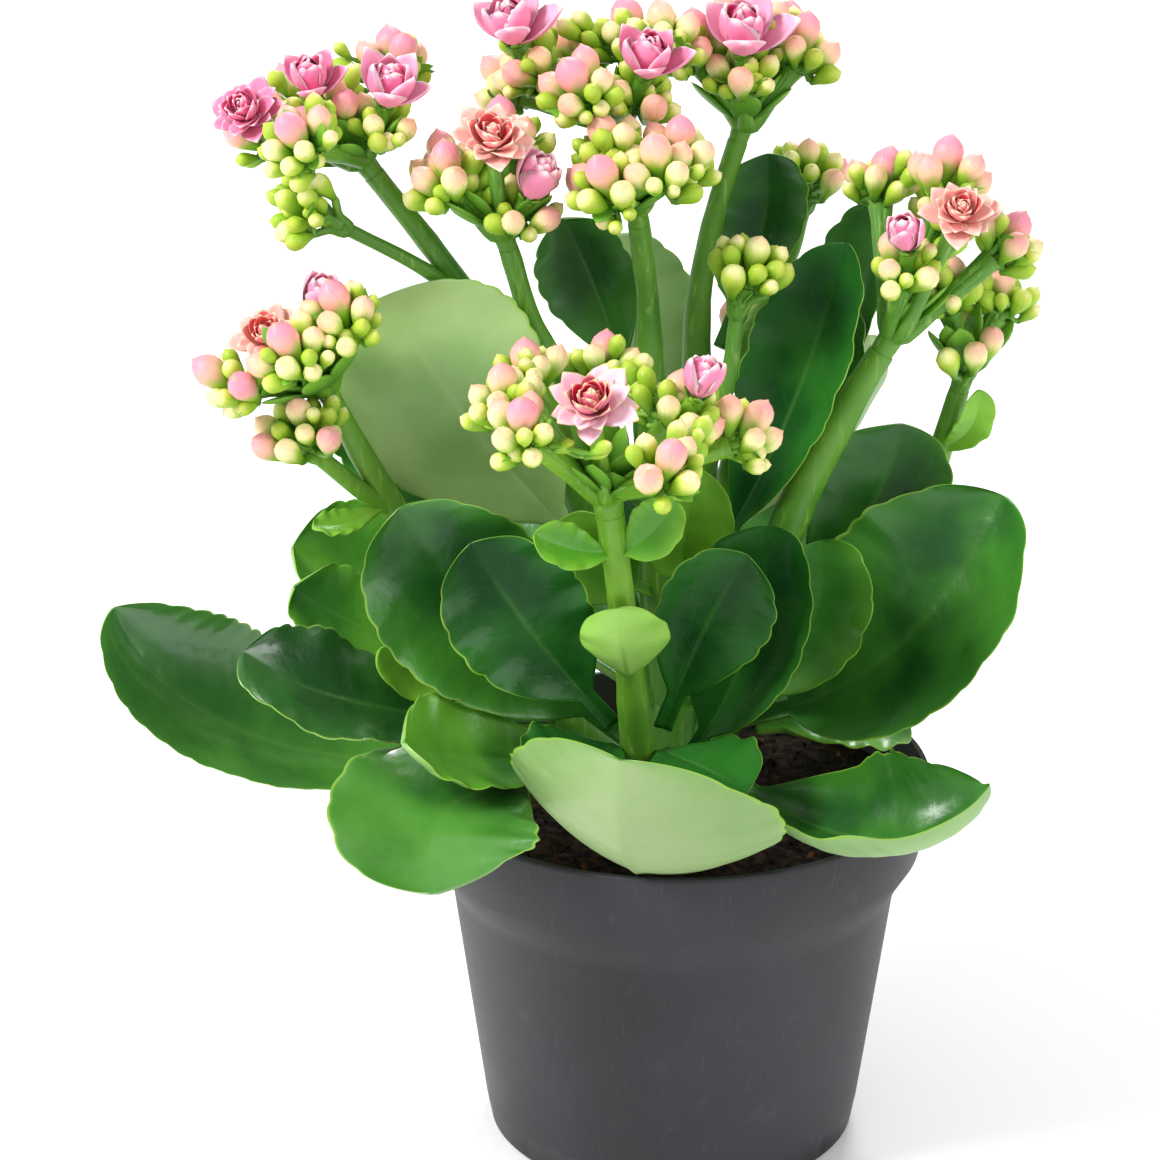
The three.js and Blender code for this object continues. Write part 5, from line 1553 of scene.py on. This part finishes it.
def head_tree():
    outputs = [("Head", "NodeSocketGeometry")]
    tree, given, result = new_tree("flower_head", "GeometryNodeTree", HEAD_INPUTS, outputs)
    tubes = step(tree, "GeometryNodeStoreNamedAttribute", {
        "Geometry": tubes_along(tree, given), "Name": "stalk", "Value": True},
        data_type="BOOLEAN", domain="FACE")
    both = tree.nodes.new("GeometryNodeJoinGeometry")
    for geometry in (tubes, buds_on_points(tree, given)):
        tree.links.new(geometry, both.inputs[0])
    smoothed = step(tree, "GeometryNodeSetShadeSmooth", {"Geometry": both.outputs[0]})
    solid = finished(tree, smoothed, given["Finish"])
    solid = step(tree, "GeometryNodeSetMaterial", {
        "Geometry": solid, "Selection": plan_value(tree, "stalk", "BOOLEAN"),
        "Material": given["Stalk Finish"]})
    tree.links.new(solid, result[0])
    return tree


flower_head = head_tree()
print("head tree nodes:", len(flower_head.nodes))

# %% Sketch of a head
SKETCH_SEED = 900
BLANK = {"thick": 0.0, "girth": at(0, 0, 0), "aim": at(0, 0, 1), "side": at(0, 1, 0), "ripe": 0.0}


class HeadSketch:
    """The chains and loose points that the head tree dresses, with the values that each point carries."""

    def __init__(self, head, plan):
        self.head = head
        self.plan = plan
        self.draw = seeded_draws(head["seed"] + SKETCH_SEED)
        self.points = []
        self.edges = []
        self.values = {key: [] for key in BLANK}

    def any_way(self):
        return unit(at(self.draw(), self.draw(), self.draw()) - 0.5)

    def add_point(self, point, **values):
        self.points.append(point)
        for key, blank in BLANK.items():
            self.values[key].append(values.get(key, blank))

    def add_line(self, line, radii):
        start = len(self.points)
        self.edges += [(start + k, start + k + 1) for k in range(len(line) - 1)]
        thick = np.interp(np.linspace(0, 1, len(line)), np.linspace(0, 1, len(radii)), radii)
        for point, radius in zip(line, thick):
            self.add_point(point, thick=radius * MM)

    def add_shape(self, centre, way, faces, size, ripe):
        self.add_point(centre, girth=at(*size) * MM, aim=way, side=faces, ripe=ripe)


print("values at each point of a sketch:", list(BLANK))

# %% Buds on their stalks
STRAND = {"start": 0.2, "turn": 0.72, "out": 0.35, "beside": 1.3, "thick": 1.15, "slim": 1.0, "bud_end": 0.28}
FULL_BUD = 2.4
BUD_BASE = 2.1
UPRIGHT = 0.7
RIPER = {"by_head": 1.15, "by_size": 0.5, "usual_size": 2.9, "by_chance": 0.3}


def add_stalked_bud(sketch, knot, centre, size, ripeness):
    """A bud on a fleshy strand that runs up beside the arm and bends out to it."""
    root, joint = knot
    along = unit(joint - root)
    lean = centre - joint
    beside = unit(lean - lean @ along * along + sketch.any_way() * 0.01)
    way = unit(unit(lean) + sketch.plan["axis"] * UPRIGHT)
    foot = centre - way * size * BUD_BASE
    line = [
        mix(root, joint, STRAND["start"]) + beside * STRAND["beside"] * 0.5,
        mix(root, joint, STRAND["turn"]) + beside * STRAND["beside"],
        mix(joint, foot, STRAND["out"]) + along * 0.5 + beside * 0.4,
        foot - way * 0.4,
        foot + way * 0.3,
    ]
    slim = STRAND["slim"] * min(1.0, size / FULL_BUD)
    sketch.add_line(line, [STRAND["thick"], STRAND["thick"], slim, slim * 0.95, STRAND["bud_end"] * size])
    sketch.add_shape(centre, way, sketch.any_way(), (size, size, size), ripeness)


def add_planned_buds(sketch):
    """The ripe buds. The largest are the ripest."""
    head = sketch.head
    for bud in sketch.plan["buds"]:
        by_size = RIPER["by_size"] * (bud["radius"] / head["buds"] - RIPER["usual_size"])
        by_chance = RIPER["by_chance"] * (sketch.draw() - 0.5)
        ripeness = RIPER["by_head"] * head["ripe"] + by_size + by_chance
        add_stalked_bud(sketch, bud["knot"], bud["centre"], bud["radius"], min(max(ripeness, 0.0), 1.0))


print("a bud's strand starts at share", STRAND["start"], "of the arm")

# %% Arms and cups
HUB_LINE = {"sunk": 2, "above": 1.1, "wide": 1.05, "top": 0.7}
ARM_LINE = {"thick": 1.8, "foot": 1.15, "flare": 1.6, "slim_at": 0.6, "to_hub": 0.7, "sunk": 1.5}
CUP_RADII = (1.1, 1.3, 1.9, 2.3)
SEPALS = 4
SEPAL = (0.95, 0.35, 1.35)
SEPAL_OUT, SEPAL_UP, SEPAL_LEAN = 1.5, 1.2, 0.75
LEAF_GREEN = -1.0


def add_arms(sketch):
    plan = sketch.plan
    foot, hub, up = plan["foot"], plan["hub"], plan["up"]
    radius = plan["radius"] * slim_at(foot[2])
    sketch.add_line([foot - up * HUB_LINE["sunk"], foot, hub, hub + up * radius * HUB_LINE["above"]],
                    [radius, radius, radius * HUB_LINE["wide"], radius * HUB_LINE["top"]])
    thick = ARM_LINE["thick"]
    for start, end in plan["arms"]:
        at_hub = np.linalg.norm(start - hub) < 2.5 * plan["radius"]
        sunk = mix(start, hub, ARM_LINE["to_hub"]) if at_hub else start - unit(end - start) * ARM_LINE["sunk"]
        at_knot = any(np.linalg.norm(end - joint) < 2 for _, joint in plan["knots"])
        flare = ARM_LINE["flare"] if at_knot else 1
        sketch.add_line([sunk, start, mix(start, end, ARM_LINE["slim_at"]), end],
                        [thick * ARM_LINE["foot"], thick * ARM_LINE["foot"], thick, thick * flare])


def add_cups(sketch):
    """A cup of four sepals under each flower."""
    for flower in sketch.head["blooms"].values():
        faces = flower["faces"]
        seat, neck = cup_of(flower)
        sketch.add_line([neck - faces * 1.5, neck, mix(neck, seat, 0.6), seat], CUP_RADII)
        for k in range(SEPALS):
            turn = Matrix.Rotation(2 * math.pi * k / SEPALS, 3, Vector(faces))
            out = np.array(turn @ Vector(any_across(faces)))
            way = unit(faces + out * SEPAL_LEAN)
            sketch.add_shape(seat + out * SEPAL_OUT + way * SEPAL_UP, way, out, SEPAL, LEAF_GREEN)


print("sepals at each flower:", SEPALS)

# %% Young buds
YOUNG = {
    "count": 15, "tries": 14, "radius": (1.5, 2.4), "reach": (5.0, 9.5), "spread": (0.35, 1.3), "around": 0.6,
    "between": (0.2, 0.5), "above": (2, 8), "clear": 0.1, "overlap": 0.4, "ripe": 0.4,
}


def drawn_spot(sketch, k):
    """A place for a young bud: round knot k in most draws, and else on the way to the next knot."""
    knots = sketch.plan["knots"]
    root, joint = knots[k]
    along = unit(joint - root)
    out = sketch.any_way()
    if sketch.draw() < YOUNG["around"] or len(knots) == 1:
        spread = mix(*YOUNG["spread"], sketch.draw())
        out = unit(out - out @ along * along)
        lean = along * math.cos(spread) + out * math.sin(spread)
        return joint + lean * mix(*YOUNG["reach"], sketch.draw())
    beyond = knots[(k + 1) % len(knots)][1]
    between = mix(joint, beyond, mix(*YOUNG["between"], sketch.draw()))
    return between + sketch.plan["axis"] * mix(*YOUNG["above"], sketch.draw()) + out * 2


def add_young_buds(sketch, k, taken):
    """Young buds at knot k, each in the roomiest of a few drawn places. Gives back how many found room."""
    before = len(taken)
    for _ in range(YOUNG["count"]):
        size = mix(*YOUNG["radius"], sketch.draw())
        best, best_room = None, -math.inf
        for _ in range(YOUNG["tries"]):
            spot = drawn_spot(sketch, k)
            room = min(np.linalg.norm(spot - centre) - reach for centre, reach in taken) - size
            if room > best_room:
                best, best_room = spot, room
        if best_room > YOUNG["clear"] - size * YOUNG["overlap"]:
            taken.append((best, size))
            add_stalked_bud(sketch, sketch.plan["knots"][k], best, size, YOUNG["ripe"] * sketch.draw())
    return len(taken) - before


print("young buds tried at each knot:", YOUNG["count"])

# %% Small bracts
BRACT = {"count": 4, "wide": (1.5, 2.4), "length": (7.0, 11.0), "flat": 0.22, "forward": 0.6}
HUB_BRACT = {
    "count": 4, "wide": (2.8, 4.4), "length": (13.0, 20.0), "full_spread": 20, "scatter": 0.45, "upward": 0.2,
}


def add_bract(sketch, start, way, faces, width, length):
    wide = mix(*width, sketch.draw())
    tall = mix(*length, sketch.draw()) / BUD_LENGTH
    sketch.add_shape(start - way * BUD_FOOT * tall, way, unit(faces - faces @ way * way),
                     (wide, wide * BRACT["flat"], tall), LEAF_GREEN)


def add_bracts(sketch, knot):
    """Bracts round a knot, and larger ones from the hub towards it, shorter in a small head."""
    hub, axis = sketch.plan["hub"], sketch.plan["axis"]
    root, joint = knot
    along = unit(joint - root)
    for _ in range(BRACT["count"]):
        out = sketch.any_way()
        way = unit(unit(out - out @ along * along) + along * BRACT["forward"])
        add_bract(sketch, joint, way, along, BRACT["wide"], BRACT["length"])
    share = min(1.0, sketch.head["spread"][0] / HUB_BRACT["full_spread"])
    wide, length = at(*HUB_BRACT["wide"]) * share, at(*HUB_BRACT["length"]) * share
    for _ in range(HUB_BRACT["count"]):
        way = unit(unit(joint - hub) + sketch.any_way() * HUB_BRACT["scatter"] + axis * HUB_BRACT["upward"])
        add_bract(sketch, hub, way, axis, wide, length)


print("bracts at each knot:", BRACT["count"] + HUB_BRACT["count"])


# %% Head pieces
def taken_places(head, plan):
    """The balls that ripe buds and flowers already fill, where no young bud may go."""
    flowers = [(f["at"] + f["faces"] * f["size"] * 0.25, f["size"] * 0.45) for f in head["blooms"].values()]
    return [(bud["centre"], bud["radius"]) for bud in plan["buds"]] + flowers


def build_head(name, head, plan):
    sketch = HeadSketch(head, plan)
    taken = taken_places(head, plan)
    add_arms(sketch)
    add_cups(sketch)
    add_planned_buds(sketch)
    young = 0
    for k, knot in enumerate(plan["knots"]):
        young += add_young_buds(sketch, k, taken)
        add_bracts(sketch, knot)
    built = new_mesh_object(name + "_buds", sketch.points, edges=sketch.edges, values=sketch.values)
    grow_with(built, flower_head, bud_shape=bud_object, finish=bud_skin, stalk_finish=stem_green)
    finish_piece(built, "bud", name)
    return young


young_buds = [build_head(name, head, plans[name]) for name, head in HEADS.items()]
bpy.data.objects.remove(bud_object)
print("heads built:", len(young_buds), "with", sum(young_buds), "young buds")

# %% [markdown]
# ## Petals and flowers
#
# A double flower is a small rosette. Its outer petals lie open and pale, and towards the heart they get
# shorter, steeper and deeper in colour, each set a little further round than the last by the same angle.
# A geometry tree follows that rule: it counts the petals, works out the turn, rise and size of each, and picks
# one of three petal shapes. A flower that is still opening is the same rosette with fewer and steeper petals,
# and a cup is one that has only parted its tips.

# %% Petal shapes
PETAL_RINGS = 7
PETAL_COLUMNS = 4
PETAL_FROM, PETAL_TO = 0.02, 0.985
PETAL_THICK = 0.028
TIP_LENGTH = 0.03
# width, bend, cup and how blunt the tip is, for petals one unit long
PETAL_KINDS = {
    "petal_0_outer": (0.62, 0.3, 0.35, 1.9),
    "petal_1_middle": (0.62, 0.85, 0.45, 1.9),
    "petal_2_heart": (0.7, 1.45, 0.6, 2.0),
}


def petal_half(share, width, blunt):
    """Half a petal's width: narrow at the foot, widest past the middle, closing to the tip."""
    widening = 0.34 + 0.66 * math.sin(math.pi / 2 * min(share / 0.6, 1))
    closing = max(0.0, 1 - max(0.0, (share - 0.55) / 0.45) ** blunt) ** 0.7
    return width / 2 * widening * max(closing, 0.08)


def petal_shape(name, width, bend, cup, blunt):
    """A petal that grows out along X with its face up. bend is how far its line curls up."""
    points, uvs, inner = [], [], []
    v = np.linspace(-1, 1, PETAL_COLUMNS + 1)
    thick = PETAL_THICK * np.sqrt(1 - 0.86 * v ** 2)
    x = z = previous = 0.0
    for share in np.linspace(PETAL_FROM, PETAL_TO, PETAL_RINGS):
        slope = bend * (share - 0.15)
        x += math.cos(slope) * (share - previous)
        z += math.sin(slope) * (share - previous)
        previous = share
        half = petal_half(share, width, blunt)
        normal = at(-math.sin(slope), 0, math.cos(slope))
        lift = cup * half * v ** 2
        for side, columns in ((1, range(len(v))), (-1, range(len(v) - 2, 0, -1))):
            for k in columns:
                points.append(at(x, 0, z) + at(0, -half * v[k], 0) + normal * (lift[k] + side * thick[k]))
                uvs.append((share, 0.5 + 0.5 * v[k]))
                inner.append(1.0 if side > 0 else 0.0)
    slope = bend * 0.85
    foot, tip = len(points), len(points) + 1
    points += [at(0, 0, 0), at(x, 0, z) + at(math.cos(slope), 0, math.sin(slope)) * TIP_LENGTH]
    uvs += [(0, 0.5), (1, 0.5)]
    inner += [1.0, 1.0]
    faces = skin_over(PETAL_RINGS, 2 * PETAL_COLUMNS, foot, tip)
    return new_mesh_object(name, np.array(points) / MM, faces, uv=uvs, values={"inner": inner})


petal_kinds = bpy.data.collections.new("petal_kinds")
scene.collection.children.link(petal_kinds)
for name, sizes in PETAL_KINDS.items():
    petal = petal_shape(name, *sizes)
    scene.collection.objects.unlink(petal)
    petal_kinds.objects.link(petal)
print("petal faces:", len(petal.data.polygons))

# %% Rosette tree
ROSETTE_INPUTS = [
    ("Start", "NodeSocketGeometry", None),
    ("Petals", "NodeSocketInt", 30),
    ("Radius", "NodeSocketFloat", 0.009),
    ("Rim Rise", "NodeSocketFloat", 0.1),
    ("Heart Rise", "NodeSocketFloat", 1.25),
    ("Turn", "NodeSocketFloat", 2.39996),
    ("Shortest", "NodeSocketFloat", 0.42),
    ("Dome", "NodeSocketFloat", 0.3),
    ("Jitter", "NodeSocketFloat", 0.14),
    ("Seed", "NodeSocketInt", 1),
    ("First Kind", "NodeSocketFloat", 0.0),
    ("Kinds", "NodeSocketCollection", None),
    ("Finish", "NodeSocketMaterial", None),
]
KINDS_END = 2.99


def jitter(tree, given, order):
    """A small random number, another one for each order."""
    least = calculate(tree, "MULTIPLY", given["Jitter"], -1.0)
    return random_number(tree, least, given["Jitter"], calculate(tree, "ADD", given["Seed"], order))


def petal_turn(tree, given, index, inward):
    """How each petal lies: rolled a little, raised more towards the heart, and turned on from the last."""
    turn = calculate(tree, "ADD", calculate(tree, "MULTIPLY", index, given["Turn"]), jitter(tree, given, 1.0))
    opened = calculate(tree, "SUBTRACT", given["Heart Rise"], given["Rim Rise"])
    rise = calculate(tree, "MULTIPLY_ADD", calculate(tree, "POWER", inward, 0.8), opened, given["Rim Rise"])
    rise = calculate(tree, "ADD", rise, jitter(tree, given, 2.0))
    down = calculate(tree, "MULTIPLY", rise, -1.0)
    return step(tree, "ShaderNodeCombineXYZ", {0: jitter(tree, given, 3.0), 1: down, 2: turn})


def rosette_tree():
    tree, given, result = new_tree("rosette", "GeometryNodeTree", ROSETTE_INPUTS,
                                   [("Rosette", "NodeSocketGeometry")])
    index = step(tree, "GeometryNodeInputIndex")
    inward = calculate(tree, "DIVIDE", index, calculate(tree, "SUBTRACT", given["Petals"], 1.0))
    height = calculate(tree, "MULTIPLY", calculate(tree, "MULTIPLY", inward, given["Dome"]), given["Radius"])
    points = step(tree, "GeometryNodePoints", {
        "Count": given["Petals"], "Position": step(tree, "ShaderNodeCombineXYZ", {2: height})})
    points = step(tree, "GeometryNodeStoreNamedAttribute", {
        "Geometry": points, "Name": "inward", "Value": inward}, data_type="FLOAT", domain="POINT")
    shorter = calculate(tree, "MULTIPLY_ADD", inward, calculate(tree, "SUBTRACT", given["Shortest"], 1.0), 1.0)
    scale = calculate(tree, "MULTIPLY", calculate(tree, "MULTIPLY", shorter, given["Radius"]),
                      calculate(tree, "ADD", jitter(tree, given, 4.0), 1.0))
    kinds = step(tree, "GeometryNodeCollectionInfo", {
        "Collection": given["Kinds"], "Separate Children": True, "Reset Children": True})
    to_last = calculate(tree, "SUBTRACT", KINDS_END, given["First Kind"])
    kind = calculate(tree, "FLOOR", calculate(tree, "MULTIPLY_ADD", inward, to_last, given["First Kind"]))
    placed = step(tree, "GeometryNodeInstanceOnPoints", {
        "Points": points, "Instance": kinds, "Pick Instance": True, "Instance Index": kind,
        "Rotation": petal_turn(tree, given, index, inward), "Scale": scale})
    solid = step(tree, "GeometryNodeRealizeInstances", {"Geometry": placed})
    solid = step(tree, "GeometryNodeSetShadeSmooth", {"Geometry": solid})
    solid = step(tree, "GeometryNodeSetMaterial", {"Geometry": solid, "Material": given["Finish"]})
    tree.links.new(solid, result[0])
    return tree


rosette = rosette_tree()
print("rosette tree nodes:", len(rosette.nodes))

# %% Petal skin group
PETAL_INPUTS = [
    ("Outer", "NodeSocketColor", rgb(246, 176, 204)),
    ("Heart", "NodeSocketColor", rgb(222, 60, 124)),
    ("Edge", "NodeSocketColor", rgb(254, 222, 228)),
    ("Back", "NodeSocketColor", rgb(241, 140, 178)),
]
PETAL_OUTPUTS = [("Color", "NodeSocketColor"), ("Normal", "NodeSocketVector")]


def petal_skin_group():
    tree, given, result = new_tree("petal_skin", "ShaderNodeTree", PETAL_INPUTS, PETAL_OUTPUTS)
    uv = uv_map(tree)
    along, across, _ = split(tree, uv)
    inward = stored(tree, "inward")
    face = mix_colours(tree, step_between(tree, inward, 0.2, 0.5), given["Outer"], given["Heart"])
    face = mix_colours(tree, step_between(tree, along, 0.6, 0.05, 0.0, 0.85), face, given["Heart"])
    back = mix_colours(tree, step_between(tree, inward, 0.25, 0.7, 0.0, 0.6), given["Back"], given["Heart"])
    colour = mix_colours(tree, stored(tree, "inner"), back, face)
    rim = calculate(tree, "MAXIMUM", step_between(tree, from_middle(tree, across), 0.78, 1.0),
                    step_between(tree, along, 0.86, 1.0))
    colour = mix_colours(tree, rim, colour, given["Edge"])
    streak_place = stretched(tree, uv, (2.0, 26.0, 1.0))
    streaks = step_between(tree, noise(tree, streak_place, 1.0, 2.0), 0.45, 0.75, 0.0, 0.2)
    colour = mix_colours(tree, streaks, colour, given["Edge"])
    feed(tree, result, Color=colour, Normal=relief_normal(tree, noise(tree, streak_place, 1.5, 2.0), 0.3))
    return tree


petal_skin = petal_skin_group()
print("petal skin nodes:", len(petal_skin.nodes))


# %% Petal finishes
def petal_finish(name, **tints):
    material, tree, shader = new_material(name, Roughness=0.62, Specular_IOR_Level=0.18)
    skin = place_group(tree, petal_skin, **tints)
    feed(tree, shader.inputs, Base_Color=skin["Color"], Normal=skin["Normal"])
    return material


PETAL_FINISHES = {
    "pink": petal_finish("petal_pink"),
    "magenta": petal_finish("petal_magenta", Outer=rgb(240, 140, 176), Heart=rgb(222, 50, 116),
                            Edge=rgb(252, 206, 220), Back=rgb(238, 146, 180)),
    "peach": petal_finish("petal_peach", Outer=rgb(250, 196, 184), Heart=rgb(232, 82, 88),
                          Edge=rgb(254, 224, 200), Back=rgb(246, 172, 172)),
    "cream_edged": petal_finish("petal_cream_edged", Outer=rgb(250, 214, 230), Heart=rgb(216, 30, 80),
                                Edge=rgb(255, 218, 180), Back=rgb(244, 172, 196)),
}
print("petal finishes:", sorted(PETAL_FINISHES))

# %% Flower kinds
FLOWER_KINDS = {
    "open": {
        "petals": 46, "rim_rise": 0.1, "heart_rise": 1.15, "shortest": 0.5, "dome": 0.22, "jitter": 0.16},
    "opening": {
        "petals": 20, "rim_rise": 0.3, "heart_rise": 1.05, "shortest": 0.7, "dome": 0.12, "jitter": 0.1,
        "first_kind": 1.8},
    "cup": {
        "petals": 16, "rim_rise": 0.52, "heart_rise": 1.0, "shortest": 0.85, "dome": 0.12, "jitter": 0.08,
        "first_kind": 2.0},
}
# petal length as a share of half the flower's width, which steep petals exceed
REACH = {"open": 1.05, "opening": 2.15, "cup": 2.15}
CUPS = ("bloom_front_opening", "bloom_left_opening", "bloom_middle_left_opening", "bloom_right_opening")


def kind_of_flower(name, flower):
    if name in CUPS:
        return "cup"
    return "opening" if flower["opening"] else "open"


print("flower kinds:", sorted(FLOWER_KINDS))

# %% Flower pieces
for head in HEADS.values():
    for order, (name, flower) in enumerate(head["blooms"].items()):
        kind = kind_of_flower(name, flower)
        built = new_mesh_object(name + "_petals", [(0, 0, 0)])
        grow_with(built, rosette, radius=flower["size"] / 2 * REACH[kind] * MM, seed=head["seed"] * 5 + order,
                  kinds=petal_kinds, finish=PETAL_FINISHES[flower["tint"]], **FLOWER_KINDS[kind])
        turn = Vector((0, 0, 1)).rotation_difference(Vector(flower["faces"])).to_matrix().to_4x4()
        built.data.transform(Matrix.Translation(Vector(flower["at"]) * MM) @ turn)
        finish_piece(built, "petal", name)
for petal in list(petal_kinds.objects):
    bpy.data.objects.remove(petal)
bpy.data.collections.remove(petal_kinds)
print("flowers built:", sum(len(head["blooms"]) for head in HEADS.values()))
